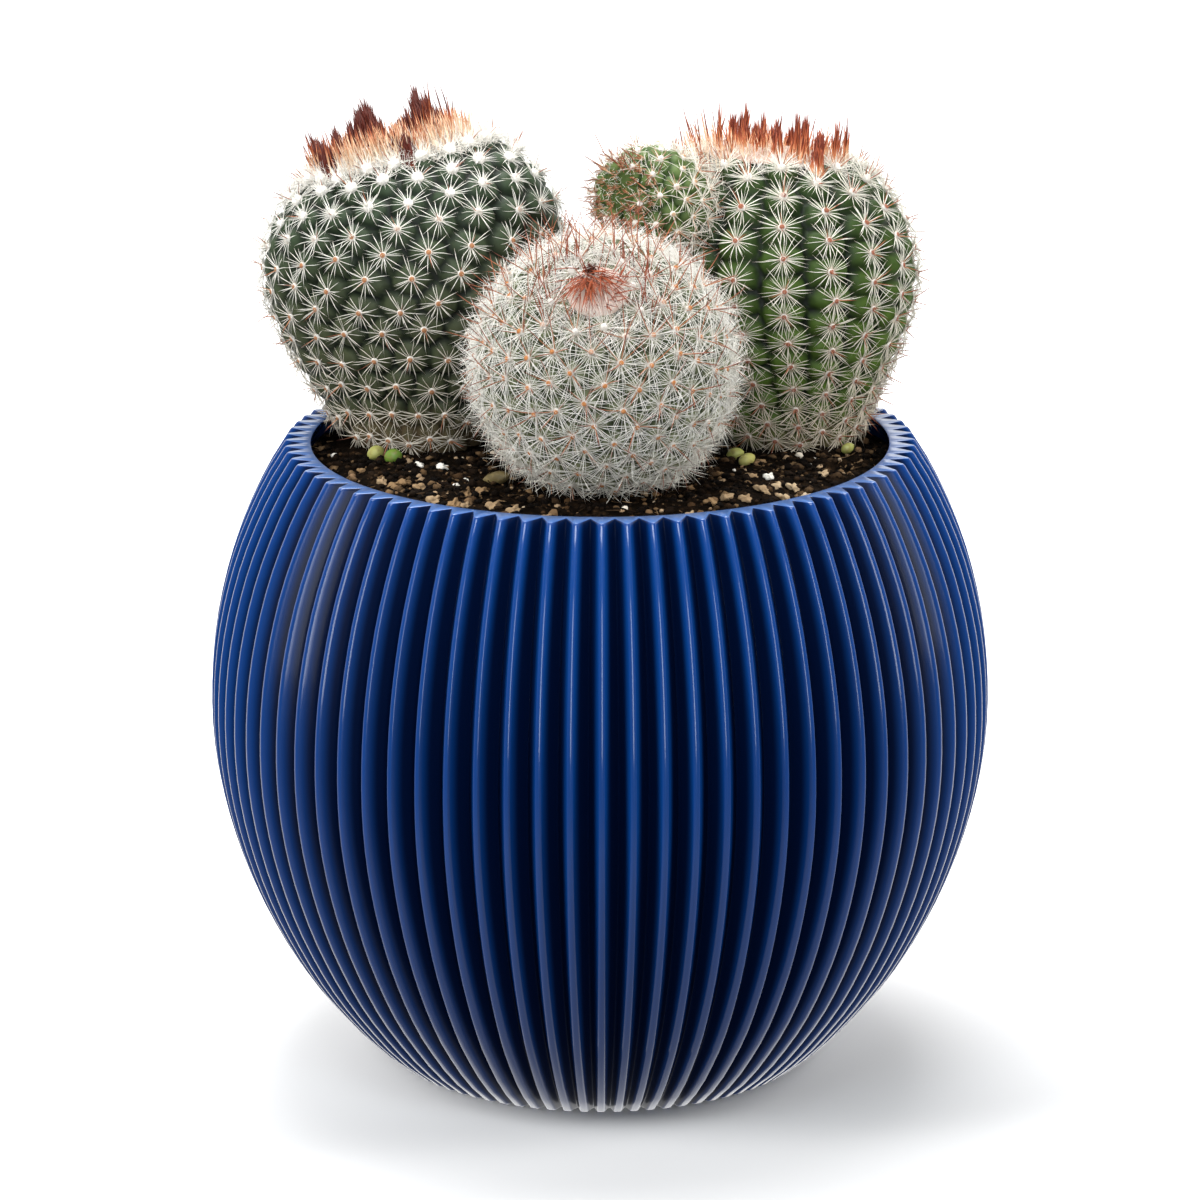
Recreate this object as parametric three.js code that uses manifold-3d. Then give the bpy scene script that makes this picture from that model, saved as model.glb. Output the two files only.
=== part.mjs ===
// A potted silver ball cactus: a pleated globe pot filled with soil, in which three cactus
// stems stand, the right one with a young offset head grown on its shoulder.
// Millimetres, +Z up, +X to the right and -Y to the front. The origin is the middle of the
// pot's foot, on the surface that the pot stands on.

import * as THREE from 'three';
import { ConvexHull } from 'three/addons/math/ConvexHull.js';
import { mergeVertices } from 'three/addons/utils/BufferGeometryUtils.js';
import Module from 'manifold-3d';

const wasm = await Module();
wasm.setup();

// The pot
const POT_HEIGHT = 146.6;
// At even heights, from one step under the foot to one step over the rim.
const CREST_RADII = [16.6, 49, 67, 78.2, 85.4, 89.4, 90, 87.6, 82, 72.3, 56.3];
const PLEATS = 80;
const PLEAT_DEPTH = 0.055; // of the crest's radius
const PLEAT_TURN = THREE.MathUtils.degToRad(0.3);
const WALL = 2; // behind the bottom of a pleat
const FLOOR = 4;
const POT_BANDS = [0, 0.06, 0.16, 0.3, 0.45, 0.6, 0.75, 0.89, 1]; // shares of the height

// The soil
const SOIL_TOP = 144;
const SOIL_DROP = 2.8; // from the mound to the wall
const MOUND_RADIUS = 50;
const SOIL_ROUGHNESS = 0.9;
const SOIL_SIDES = 32;
const GRAIN_COUNT = 22;
const GRAIN_HEIGHT = 3.2;
const GRAIN_SPREAD = Math.PI;
const GAP = 0.35; // between neighbouring pieces

// The stems' relief and spines
const STEM_CUT = SOIL_TOP + 0.6; // the underside of a stem, just above the soil
const ROOT_DEPTH = 8; // how far a stem's root goes into the soil
const TUBERCLE_HEIGHT = 2.2;
const AREOLE_RADIUS = 0.95;
const RADIAL_LENGTH = 5.2;
const RADIAL_TILT = THREE.MathUtils.degToRad(66); // from the surface's normal
const CENTRAL_LENGTH = 6.4;
const SPINE_MARGIN = 0.7;
const BRISTLE_RADIUS = 0.75;
const BRISTLE_SCATTER = 0.15;
const GOLDEN_ANGLE = Math.PI * (3 - Math.sqrt(5));

// The axis of a stem runs from its root over its bend to its tip.
const leftStem = {
  axis: axisCurve([-43, 11.8, 137], [-38.5, 26.5, 177.6], [-48.3, 30.5, 211.1]),
  radiusAt: clubProfile({ root: 10.9, girth: 34.8, girthAt: 0.58, swell: 0.94, roundness: 2.15 }),
  crownRadius: 19,
  areoles: 130,
  spines: 6,
};
const rightStem = {
  axis: axisCurve([46.5, 13, 137], [38.3, 24, 179], [41.4, 27.5, 211.9]),
  radiusAt: clubProfile({ root: 10.7, girth: 31.3, girthAt: 0.55, swell: 1.1, roundness: 1.95 }),
  crownRadius: 17,
  ribs: 15,
  ribPitch: 10.6,
  spines: 6,
};
const frontStem = {
  axis: axisCurve([2.2, -6.9, 148.5], [0.8, -25, 170.4], [-0.6, -43.1, 192.3]),
  radiusAt: ballProfile(28.4),
  crownRadius: 7,
  areoles: 136,
  spines: 6,
};
const offsetHead = {
  axis: axisCurve([27, 14, 190], [13, 11, 203], [2.6, -4.4, 209.6]),
  radiusAt: clubProfile({ root: 7, girth: 12.5, girthAt: 0.6, swell: 0.8, roundness: 2 }),
  crownRadius: 5,
  areoles: 30,
  spines: 5,
};
const ROOTS = [
  { stem: leftStem, x: -43, y: 13, radius: 10.2 },
  { stem: rightStem, x: 46, y: 14, radius: 10 },
  { stem: frontStem, x: 0.8, y: -25, radius: 16 },
];

// A seeded random number from 0 to 1.
function randomFrom(seed) {
  let state = seed;
  return () => {
    state = (state + 0x6d2b79f5) | 0;
    let mixed = Math.imul(state ^ (state >>> 15), 1 | state);
    mixed = (mixed + Math.imul(mixed ^ (mixed >>> 7), 61 | mixed)) ^ mixed;
    return ((mixed ^ (mixed >>> 14)) >>> 0) / 4294967296;
  };
}

function vector(list) {
  return new THREE.Vector3(...list);
}

function axisCurve(root, bend, tip) {
  return new THREE.QuadraticBezierCurve3(vector(root), vector(bend), vector(tip));
}

// A club: it swells from the root to its girth and closes in a rounded dome.
function clubProfile({ root, girth, girthAt, swell, roundness }) {
  return (t) => {
    if (t < girthAt) {
      return root + (girth - root) * Math.sin((Math.PI / 2) * (t / girthAt)) ** swell;
    }
    const rise = Math.min(1, (t - girthAt) / (1 - girthAt));
    return girth * (1 - rise ** roundness) ** (1 / roundness);
  };
}

function ballProfile(radius) {
  return (t) => 2 * radius * Math.sqrt(Math.max(0, t * (1 - t)));
}

function interpolate(from, to, value) {
  let next = from.findIndex((entry) => entry >= value);
  if (next < 0) next = from.length - 1;
  if (next === 0) return to[0];
  const share = (value - from[next - 1]) / (from[next] - from[next - 1]);
  return THREE.MathUtils.lerp(to[next - 1], to[next], share);
}

// Closed geometry as a solid that can be joined and cut: doubled points are merged, and
// triangles that merging made flat are dropped.
function solidOf(geometry) {
  const bare = geometry.clone();
  bare.deleteAttribute('normal');
  bare.deleteAttribute('uv');
  const merged = mergeVertices(bare, 1e-4);
  const index = [...merged.index.array];
  const kept = [];
  for (let i = 0; i < index.length; i += 3) {
    const [a, b, c] = index.slice(i, i + 3);
    if (a !== b && b !== c && c !== a) kept.push(a, b, c);
  }
  const mesh = new wasm.Mesh({
    numProp: 3,
    vertProperties: Float32Array.from(merged.attributes.position.array),
    triVerts: Uint32Array.from(kept),
  });
  return new wasm.Manifold(mesh);
}

function geometryOf(solid) {
  const mesh = solid.getMesh();
  return geometryFrom(mesh.vertProperties, mesh.triVerts);
}

function geometryFrom(positions, triangles) {
  const geometry = new THREE.BufferGeometry();
  geometry.setAttribute('position', new THREE.Float32BufferAttribute(positions, 3));
  geometry.setIndex([...triangles]);
  geometry.computeVertexNormals();
  return geometry;
}

// A body turned round the upright axis, from radius and height pairs that go up its outside
// and start and end on the axis.
function turned(profile, sides) {
  const outline = profile.map(([radius, height]) => new THREE.Vector2(radius, height));
  return new THREE.LatheGeometry(outline, sides).rotateX(Math.PI / 2);
}

const crestCurve = new THREE.SplineCurve(
  CREST_RADII.map((radius, step) => new THREE.Vector2(radius, step)),
);

function crestRadius(height) {
  const steps = CREST_RADII.length - 1;
  return crestCurve.getPoint((1 + ((steps - 2) * height) / POT_HEIGHT) / steps).x;
}

// The inside wall, straight between a few heights.
const INSIDE_HEIGHTS = [0, 0.35, 0.7, 1].map((step) => {
  return THREE.MathUtils.lerp(FLOOR, POT_HEIGHT, step);
});
const INSIDE_RADII = INSIDE_HEIGHTS.map((height, i) => {
  return crestRadius(height) * (1 - PLEAT_DEPTH) - (i === 0 ? 2.4 : 1) * WALL;
});

function innerRadius(height) {
  return interpolate(INSIDE_HEIGHTS, INSIDE_RADII, height);
}

// The pot: one moulded shell, its outside folded in sharp pleats from foot to rim.
function makePot() {
  const outside = [[0, 0]];
  for (const share of POT_BANDS) {
    outside.push([crestRadius(share * POT_HEIGHT), share * POT_HEIGHT]);
  }
  outside.push([0, POT_HEIGHT]);
  const shell = turned(outside, 2 * PLEATS);
  const position = shell.attributes.position;
  for (let i = 0; i < position.count; i += 1) {
    const side = Math.floor(i / outside.length);
    const inset = side % 2 === 1 ? 1 - PLEAT_DEPTH : 1;
    position.setXY(i, position.getX(i) * inset, position.getY(i) * inset);
  }
  shell.rotateZ(PLEAT_TURN);
  const mouth = [[innerRadius(POT_HEIGHT), POT_HEIGHT + 5], [0, POT_HEIGHT + 5]];
  const hollow = [[0, FLOOR], ...INSIDE_HEIGHTS.map((height) => [innerRadius(height), height])];
  return geometryOf(solidOf(shell).subtract(solidOf(turned([...hollow, ...mouth], PLEATS))));
}

function soilHeight(x, y) {
  const slope = THREE.MathUtils.smoothstep(Math.hypot(x, y), MOUND_RADIUS, innerRadius(SOIL_TOP));
  return SOIL_TOP - SOIL_DROP * slope;
}

// The soil: it fills the pot to just under the rim, crumbly on top and higher round the
// stems, which stand in plain holes in it.
function makeSoil() {
  const random = randomFrom(7);
  const edge = SOIL_TOP - SOIL_DROP;
  const edgeRadius = innerRadius(edge) - GAP;
  const sideHeights = [FLOOR + GAP, ...INSIDE_HEIGHTS.slice(1, -1), edge];
  const profile = sideHeights.map((height) => [innerRadius(height) - GAP, height]);
  profile.unshift([0, FLOOR + GAP]);
  const topRings = [0.88, 0.72, 0.5, 0.25];
  topRings.forEach((share) => profile.push([edgeRadius * share, edge]));
  profile.push([0, edge]);
  const body = turned(profile, SOIL_SIDES);
  const position = body.attributes.position;
  const firstTop = profile.length - topRings.length - 1;
  const bumps = new Map();
  for (let i = 0; i < position.count; i += 1) {
    if (i % profile.length < firstTop) continue;
    const x = position.getX(i);
    const y = position.getY(i);
    const key = `${x.toFixed(2)} ${y.toFixed(2)}`.replaceAll('-0.00', '0.00');
    if (!bumps.has(key)) bumps.set(key, random() * SOIL_ROUGHNESS);
    position.setZ(i, soilHeight(x, y) - bumps.get(key));
  }
  let soil = solidOf(body);
  for (const grain of soilGrains(random)) soil = soil.add(grain);
  for (const root of ROOTS) soil = soil.subtract(rootPlug(root, GAP));
  return geometryOf(soil);
}

// Loose grains of pumice and bark, half sunk in the soil between the stems and the wall, more
// of them at the front.
function soilGrains(random) {
  const grains = [];
  while (grains.length < GRAIN_COUNT) {
    const turn = -Math.PI / 2 + GRAIN_SPREAD * (random() + random() - 1);
    const reach = THREE.MathUtils.lerp(20, innerRadius(SOIL_TOP) - 4, Math.sqrt(random()));
    const size = THREE.MathUtils.lerp(1.8, 3.2, random());
    const centre = new THREE.Vector3(reach * Math.cos(turn), reach * Math.sin(turn), 0);
    centre.z = soilHeight(centre.x, centre.y);
    const room = Math.min(...ROOTS.map((root) => {
      const fromRoot = Math.hypot(centre.x - root.x, centre.y - root.y) - root.radius;
      return Math.min(fromRoot, bodyClearance(root.stem, centre));
    }));
    if (room < size + SPINE_MARGIN) continue;
    const grain = new THREE.CylinderGeometry(0.6 * size, size, GRAIN_HEIGHT, 4);
    grain.rotateX(Math.PI / 2);
    grain.scale(1.1, 0.75, 1);
    grain.rotateZ(random() * Math.PI);
    grain.translate(centre.x, centre.y, centre.z - 0.15 * GRAIN_HEIGHT);
    grains.push(solidOf(grain));
  }
  return grains;
}

function rootPlug(root, gap) {
  const bottom = SOIL_TOP - ROOT_DEPTH - gap;
  const top = STEM_CUT + 3;
  const plug = new THREE.CylinderGeometry(root.radius + gap, root.radius + gap, top - bottom, 20);
  plug.rotateX(Math.PI / 2);
  plug.translate(root.x, root.y, (top + bottom) / 2);
  return solidOf(plug);
}

// How far a point lies from a stem's smooth body, which is taken as balls along its axis.
function bodyClearance(stem, point) {
  const steps = 40;
  let clearance = Infinity;
  for (let step = 1; step < steps; step += 1) {
    const t = step / steps;
    const distance = point.distanceTo(stem.axis.getPoint(t)) - stem.radiusAt(t);
    clearance = Math.min(clearance, distance);
  }
  return clearance;
}

function axisFrame(stem, t) {
  const along = stem.axis.getTangent(t);
  const across = new THREE.Vector3(0, 1, 0).cross(along).normalize();
  return { centre: stem.axis.getPoint(t), along, across, behind: along.clone().cross(across) };
}

function bodyPoint(stem, t, radius, turn) {
  const { centre, across, behind } = axisFrame(stem, t);
  centre.addScaledVector(across, radius * Math.cos(turn));
  return centre.addScaledVector(behind, radius * Math.sin(turn));
}

// Tables along the stem, from its crown down: the place on the axis, the length run along
// the surface, and the share of the whole surface that lies above.
function measureStem(stem) {
  const steps = 240;
  let crownAt = 1;
  while (stem.radiusAt(crownAt) < stem.crownRadius) crownAt -= 0.0005;
  const places = [];
  const lengths = [];
  const areas = [];
  let length = 0;
  let area = Math.PI * stem.crownRadius ** 2;
  for (let step = 0; step <= steps; step += 1) {
    const t = THREE.MathUtils.lerp(crownAt, 0.01, step / steps);
    if (step > 0) {
      const last = places[step - 1];
      const slant = bodyPoint(stem, t, stem.radiusAt(t), 0)
        .distanceTo(bodyPoint(stem, last, stem.radiusAt(last), 0));
      const rise = stem.axis.getPoint(t).distanceTo(stem.axis.getPoint(last));
      const run = Math.hypot(rise, stem.radiusAt(t) - stem.radiusAt(last));
      length += (slant + run) / 2;
      area += Math.PI * (stem.radiusAt(t) + stem.radiusAt(last)) * run;
    }
    places.push(t);
    lengths.push(length);
    areas.push(area);
  }
  const whole = area + Math.PI * stem.radiusAt(0.01) ** 2;
  return { places, lengths, shares: areas.map((part) => part / whole) };
}

// A point of the stem's surface, by the share of the surface above it and its turn round
// the axis. The crown and the root end are flat discs.
function surfacePoint(stem, table, share, turn, lift) {
  const crownShare = table.shares[0];
  const rootShare = table.shares.at(-1);
  if (share <= crownShare) {
    const radius = stem.crownRadius * Math.sqrt(share / crownShare);
    return bodyPoint(stem, table.places[0], radius, turn);
  }
  if (share >= rootShare) {
    const t = table.places.at(-1);
    const radius = stem.radiusAt(t) * Math.sqrt((1 - share) / (1 - rootShare));
    return bodyPoint(stem, t, radius, turn);
  }
  const t = interpolate(table.shares, table.places, share);
  const point = bodyPoint(stem, t, stem.radiusAt(t), turn);
  return point.addScaledVector(surfaceNormal(stem, t, turn), lift);
}

function surfaceNormal(stem, t, turn) {
  const step = 0.002;
  const up = bodyPoint(stem, t + step, stem.radiusAt(t + step), turn);
  up.sub(bodyPoint(stem, t - step, stem.radiusAt(t - step), turn));
  const round = bodyPoint(stem, t, stem.radiusAt(t), turn + step);
  round.sub(bodyPoint(stem, t, stem.radiusAt(t), turn - step));
  return round.cross(up).normalize();
}

function directionOf(share, turn) {
  return poleDirection(Math.acos(1 - 2 * share), turn);
}

// Triangles over points of a sphere, as corner numbers, all seen from outside.
function triangulate(directions) {
  const numbers = new Map(directions.map((direction, i) => [direction, i]));
  const hull = new ConvexHull().setFromPoints(directions);
  return hull.faces.map((face) => {
    const first = face.edge;
    return [first, first.next, first.next.next].map((edge) => numbers.get(edge.head().point));
  });
}

// Where the areoles sit: in straight ribs, each rib half a step from the next, or in the
// crossing spirals of a golden angle.
function areolePlaces(stem, table) {
  const places = [];
  if (stem.ribs) {
    const rows = Math.floor(table.lengths.at(-1) / stem.ribPitch);
    for (let rib = 0; rib < stem.ribs; rib += 1) {
      for (let row = 0; row < rows; row += 1) {
        const length = (row + 0.5 + 0.5 * (rib % 2)) * stem.ribPitch;
        places.push({ length, turn: (2 * Math.PI * rib) / stem.ribs });
      }
    }
  } else {
    const [crownShare, rootShare] = [table.shares[0], table.shares.at(-1)];
    for (let i = 0; i < stem.areoles; i += 1) {
      const share = THREE.MathUtils.lerp(crownShare, rootShare, (i + 0.9) / (stem.areoles + 1));
      const length = interpolate(table.shares, table.lengths, share);
      places.push({ length, turn: i * GOLDEN_ANGLE });
    }
  }
  return places.filter(({ length, turn }) => {
    const share = interpolate(table.lengths, table.shares, length);
    return surfacePoint(stem, table, share, turn, 0).z > STEM_CUT + 3.5;
  });
}

// A stem's body: tubercles raised from the surface, each with a star of spines whose roots
// are the small triangles of its areole, so that body and spines are one skin.
function makeBody(stem, neighbours) {
  const table = measureStem(stem);
  const points = [];
  const addPoint = (share, turn, lift, extra = {}) => {
    const position = surfacePoint(stem, table, share, turn, lift);
    points.push({ direction: directionOf(share, turn), position, share, turn, ...extra });
  };
  addPoint(0, 0, 0);
  addPoint(1, 0, 0);
  const ringSides = 14;
  for (let side = 0; side < ringSides; side += 1) {
    addPoint(table.shares[0], (2 * Math.PI * side) / ringSides, 0);
    addPoint(table.shares.at(-1), (2 * Math.PI * (side + 0.5)) / ringSides, 0);
  }
  const areoles = areolePlaces(stem, table).map(({ length, turn }) => {
    const share = interpolate(table.lengths, table.shares, length);
    const t = interpolate(table.shares, table.places, share);
    const centre = surfacePoint(stem, table, share, turn, TUBERCLE_HEIGHT / 2);
    return { length, turn, share, t, centre, normal: surfaceNormal(stem, t, turn) };
  });
  const ends = points.length;
  const sparse = points.map((point) => point.direction);
  areoles.forEach((areole) => sparse.push(directionOf(areole.share, areole.turn)));
  for (const corners of triangulate(sparse)) {
    if (corners.every((corner) => corner < ends)) continue;
    const middle = new THREE.Vector3();
    corners.forEach((corner) => middle.add(sparse[corner]));
    middle.normalize();
    const share = (1 - middle.z) / 2;
    const isBetween = share > table.shares[0] + 0.004 && share < table.shares.at(-1) - 0.004;
    if (isBetween) addPoint(share, Math.atan2(middle.y, middle.x), -TUBERCLE_HEIGHT / 2);
  }
  areoles.forEach((areole, star) => addAreole(stem, table, areole, star, addPoint));
  const triangles = [];
  const positions = points.map((point) => point.position);
  for (const corners of triangulate(points.map((point) => point.direction))) {
    const ordered = startAtCentre(corners, points);
    const star = points[ordered[0]].star;
    const isAreole = star !== undefined && ordered.every((corner) => points[corner].star === star);
    if (!isAreole) {
      triangles.push(...ordered);
      continue;
    }
    const [centre, first, second] = ordered;
    const tip = positions.length;
    positions.push(spineTip(areoles, star, points[first], stem, neighbours));
    triangles.push(centre, first, tip, first, second, tip, second, centre, tip);
  }
  const flat = positions.flatMap((position) => position.toArray());
  return solidOf(geometryFrom(flat, triangles));
}

function addAreole(stem, table, areole, star, addPoint) {
  addPoint(areole.share, areole.turn, TUBERCLE_HEIGHT / 2, { star, isCentre: true });
  for (let corner = 0; corner < stem.spines; corner += 1) {
    const heading = (2 * Math.PI * (corner + 0.25 * (star % 4))) / stem.spines;
    const length = areole.length + AREOLE_RADIUS * Math.cos(heading);
    const share = interpolate(table.lengths, table.shares, length);
    const turn = areole.turn + (AREOLE_RADIUS * Math.sin(heading)) / stem.radiusAt(areole.t);
    addPoint(share, turn, TUBERCLE_HEIGHT / 2, { star, corner, heading });
  }
}

function startAtCentre(corners, points) {
  const start = Math.max(0, corners.findIndex((corner) => points[corner].isCentre));
  return [0, 1, 2].map((step) => corners[(start + step) % 3]);
}

// A spine's tip. The first spine of a star is its central one and stands out straight, and
// the others lie round it. A spine is shorter where it would cross a neighbour.
function spineTip(areoles, star, corner, stem, neighbours) {
  const areole = areoles[star];
  const isCentral = corner.corner === 0;
  const outward = corner.position.clone().sub(areole.centre);
  const quarter = Math.PI / stem.spines;
  const heading = outward.projectOnPlane(areole.normal).normalize();
  heading.applyAxisAngle(areole.normal, quarter);
  const aim = new THREE.Vector3();
  if (isCentral) {
    aim.copy(areole.normal).addScaledVector(heading, 0.15).setLength(CENTRAL_LENGTH);
  } else {
    aim.copy(areole.normal).multiplyScalar(Math.cos(RADIAL_TILT));
    aim.addScaledVector(heading, Math.sin(RADIAL_TILT)).setLength(RADIAL_LENGTH);
    for (const other of areoles) {
      const between = other.centre.clone().sub(areole.centre);
      const distance = between.length();
      const isAhead = other !== areole && between.dot(heading) > 0.7 * distance;
      if (isAhead && aim.length() > 0.47 * distance) aim.setLength(0.47 * distance);
    }
  }
  const tip = areole.centre.clone().add(aim);
  for (let trim = 0; trim < 12 && !hasRoom(tip, stem, neighbours); trim += 1) {
    aim.multiplyScalar(0.82);
    tip.copy(areole.centre).add(aim);
  }
  return tip;
}

// Room for a spine's tip: on its own side of the space between two stems, above the soil,
// inside the pot's mouth and off the crown.
function hasRoom(tip, stem, neighbours) {
  if (tip.z < STEM_CUT + SPINE_MARGIN) return false;
  if (tip.z < POT_HEIGHT + 1 && Math.hypot(tip.x, tip.y) > innerRadius(POT_HEIGHT) - 1) return false;
  const own = bodyClearance(stem, tip);
  if (neighbours.some((other) => bodyClearance(other, tip) < own + SPINE_MARGIN)) return false;
  const crown = crownFrame(stem);
  const offset = tip.clone().sub(crown.centre);
  const height = offset.dot(crown.along);
  const reach = offset.projectOnPlane(crown.along).length();
  return height < -0.4 || reach > stem.crownRadius + SPINE_MARGIN;
}

function crownFrame(stem) {
  if (!stem.crown) stem.crown = axisFrame(stem, measureStem(stem).places[0]);
  return stem.crown;
}

// A stem as it stands: cut level just above the soil, with its root going down into it.
function standing(body, root) {
  const below = new THREE.BoxGeometry(200, 200, 100);
  below.translate(0, 0, STEM_CUT - 50);
  return body.subtract(solidOf(below)).add(rootPlug(root, 0));
}

// The woolly pad in a crown, with the long bristles that stand in it and, in some places,
// the dark pointed bunches that the bristles close up into. Each is a small ring of points
// on the pad, drawn up to a tip.
function makeTuft(stem, tuft) {
  const random = randomFrom(tuft.seed);
  const { centre, along, across, behind } = crownFrame(stem);
  const padRadius = stem.crownRadius - GAP;
  const onPad = (direction) => {
    const point = centre.clone().addScaledVector(across, padRadius * direction.x);
    point.addScaledVector(behind, padRadius * direction.y);
    return point.addScaledVector(along, GAP + tuft.padHeight * Math.max(0, direction.z));
  };
  const points = [];
  const addPoint = (direction, position = onPad(direction)) => points.push({ direction, position });
  addPoint(poleDirection(Math.PI, 0));
  for (let side = 0; side < 12; side += 1) {
    addPoint(poleDirection(Math.PI * 0.6, (Math.PI * side) / 6));
    addPoint(poleDirection(Math.PI * 0.5, (Math.PI * (side + 0.5)) / 6));
  }
  for (let i = 0; i < tuft.bristles; i += 1) {
    const isBunch = tuft.bunches.includes(i);
    const base = (isBunch ? tuft.bunchRadius : BRISTLE_RADIUS) / padRadius;
    const corners = isBunch ? 6 : 3;
    const polar = Math.acos(1 - (i + 0.5) / (tuft.bristles + 3));
    const turn = i * GOLDEN_ANGLE;
    const root = poleDirection(polar, turn);
    const down = poleDirection(polar + Math.PI / 2, turn);
    const round = root.clone().cross(down);
    for (let corner = 0; corner < corners; corner += 1) {
      const heading = (2 * Math.PI * corner) / corners + i;
      const direction = root.clone().addScaledVector(down, base * Math.cos(heading));
      addPoint(direction.addScaledVector(round, base * Math.sin(heading)).normalize());
    }
    const lean = tuft.lean * Math.sin(polar) + BRISTLE_SCATTER * (random() - 0.5);
    const length = tuft.length * (isBunch ? 1 : THREE.MathUtils.lerp(0.55, 0.95, random()));
    const outward = across.clone().multiplyScalar(Math.cos(turn));
    outward.addScaledVector(behind, Math.sin(turn));
    const tip = onPad(root).addScaledVector(along, length * Math.cos(lean));
    addPoint(root, tip.addScaledVector(outward, length * Math.sin(lean)));
  }
  return geometryOf(solidOf(skinOver(points)));
}

function poleDirection(polar, turn) {
  const reach = Math.sin(polar);
  return new THREE.Vector3(reach * Math.cos(turn), reach * Math.sin(turn), Math.cos(polar));
}

// One closed skin over points that each have a direction on a sphere and a place.
function skinOver(points) {
  const triangles = triangulate(points.map((point) => point.direction)).flat();
  return geometryFrom(points.flatMap((point) => point.position.toArray()), triangles);
}

const plastic = new THREE.MeshStandardMaterial({ color: 0x1b3a8c, roughness: 0.35, metalness: 0 });
const peat = new THREE.MeshStandardMaterial({ color: 0x2a1d14, roughness: 0.95, metalness: 0 });
const darkGreen = new THREE.MeshStandardMaterial({ color: 0x8fa38c, roughness: 0.7, metalness: 0 });
const freshGreen = new THREE.MeshStandardMaterial({ color: 0x5f8a45, roughness: 0.65, metalness: 0 });
const silver = new THREE.MeshStandardMaterial({ color: 0xdedfd2, roughness: 0.8, metalness: 0 });
const rust = new THREE.MeshStandardMaterial({ color: 0x8a4428, roughness: 0.8, metalness: 0 });

const plant = new THREE.Group();

function addPiece(name, geometry, material) {
  const mesh = new THREE.Mesh(geometry, material);
  mesh.name = name;
  plant.add(mesh);
}

const leftBody = makeBody(leftStem, [frontStem, offsetHead, rightStem]);
const rightBody = makeBody(rightStem, [frontStem, leftStem]);
const frontBody = makeBody(frontStem, [leftStem, rightStem, offsetHead]);
const offsetBody = makeBody(offsetHead, [frontStem, leftStem]);

addPiece('pot', makePot(), plastic);
addPiece('soil', makeSoil(), peat);
addPiece('stem_left', geometryOf(standing(leftBody, ROOTS[0])), darkGreen);
addPiece('stem_right', geometryOf(standing(rightBody.add(offsetBody), ROOTS[1])), freshGreen);
addPiece('stem_front', geometryOf(standing(frontBody, ROOTS[2])), silver);
addPiece('crown_tuft_left', makeTuft(leftStem, {
  seed: 11, bristles: 50, bunches: [9, 16, 22, 31], bunchRadius: 2.4,
  length: 13, lean: 0.35, padHeight: 3,
}), rust);
addPiece('crown_tuft_right', makeTuft(rightStem, {
  seed: 12, bristles: 44, bunches: [7, 13, 18, 24, 29, 35], bunchRadius: 1.8,
  length: 9.5, lean: 0.35, padHeight: 2.5,
}), rust);
addPiece('crown_tuft_front', makeTuft(frontStem, {
  seed: 13, bristles: 30, bunches: [], bunchRadius: 0, length: 9, lean: 1.1, padHeight: 1.5,
}), rust);
addPiece('crown_tuft_offset', makeTuft(offsetHead, {
  seed: 14, bristles: 16, bunches: [], bunchRadius: 0, length: 7, lean: 0.6, padHeight: 1.5,
}), rust);

export default plant;
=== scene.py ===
import math

import bpy
import numpy as np
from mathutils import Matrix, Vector, noise
from mathutils.kdtree import KDTree


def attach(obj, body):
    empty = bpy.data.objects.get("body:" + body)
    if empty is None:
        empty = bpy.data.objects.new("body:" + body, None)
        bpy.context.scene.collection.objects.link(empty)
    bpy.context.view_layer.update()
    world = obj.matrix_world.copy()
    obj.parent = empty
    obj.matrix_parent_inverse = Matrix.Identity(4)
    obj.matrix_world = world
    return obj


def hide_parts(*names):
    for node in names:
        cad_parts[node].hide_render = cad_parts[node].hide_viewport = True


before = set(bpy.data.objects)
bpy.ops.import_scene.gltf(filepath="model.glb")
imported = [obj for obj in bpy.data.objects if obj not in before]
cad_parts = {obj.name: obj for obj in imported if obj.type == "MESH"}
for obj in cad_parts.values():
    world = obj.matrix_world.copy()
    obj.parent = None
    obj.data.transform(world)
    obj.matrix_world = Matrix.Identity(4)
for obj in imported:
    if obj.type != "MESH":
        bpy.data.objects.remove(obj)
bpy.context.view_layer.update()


# The pot: a round planter moulded in satin cobalt plastic, in one piece. Its outside is folded in
# sharp pleats with narrow flat crests, which widen towards the foot, and its rim is a flat land.

MM = 0.001
POT_HEIGHT = 146.6 * MM
# In mm at even heights, from one step under the foot to one step over the rim.
CREST_RADII = [16.6, 49, 67, 78.2, 85.4, 89.4, 90, 87.6, 82, 72.3, 56.3]
PLEATS = 80
PLEAT_DEPTH = 0.055  # of the crest's radius
PLEAT_TURN = math.radians(0.3)
POT_WALL = 2 * MM
POT_FLOOR = 4 * MM
POT_BANDS = 30
CREST_AT_FOOT = 0.95 * MM
CREST_AT_RIM = 0.45 * MM
PLEAT_POINTS = 11
EDGE_ROUND = 0.5 * MM


def deselect():
    bpy.ops.object.select_all(action="DESELECT")


def edit_all():
    """Opens the active piece's mesh, with all of it selected."""
    bpy.ops.object.mode_set(mode="EDIT")
    bpy.ops.mesh.select_all(action="SELECT")


def extrude(rise):
    bpy.ops.mesh.extrude_region_move(TRANSFORM_OT_translate={"value": (0, 0, rise)})


def crest_radius(height):
    """The radius of the pleats' crests, a smooth curve through the radii above."""
    steps = len(CREST_RADII) - 3
    place = min(max(height / POT_HEIGHT, 0), 1) * steps
    low = min(int(place), steps - 1)
    share = place - low
    before, start, end, after = CREST_RADII[low:low + 4]
    leaving = (end - before) / 2
    arriving = (after - start) / 2
    cubic = 2 * (start - end) + leaving + arriving
    square = 3 * (end - start) - 2 * leaving - arriving
    return (((cubic * share + square) * share + leaving) * share + start) * MM


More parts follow.
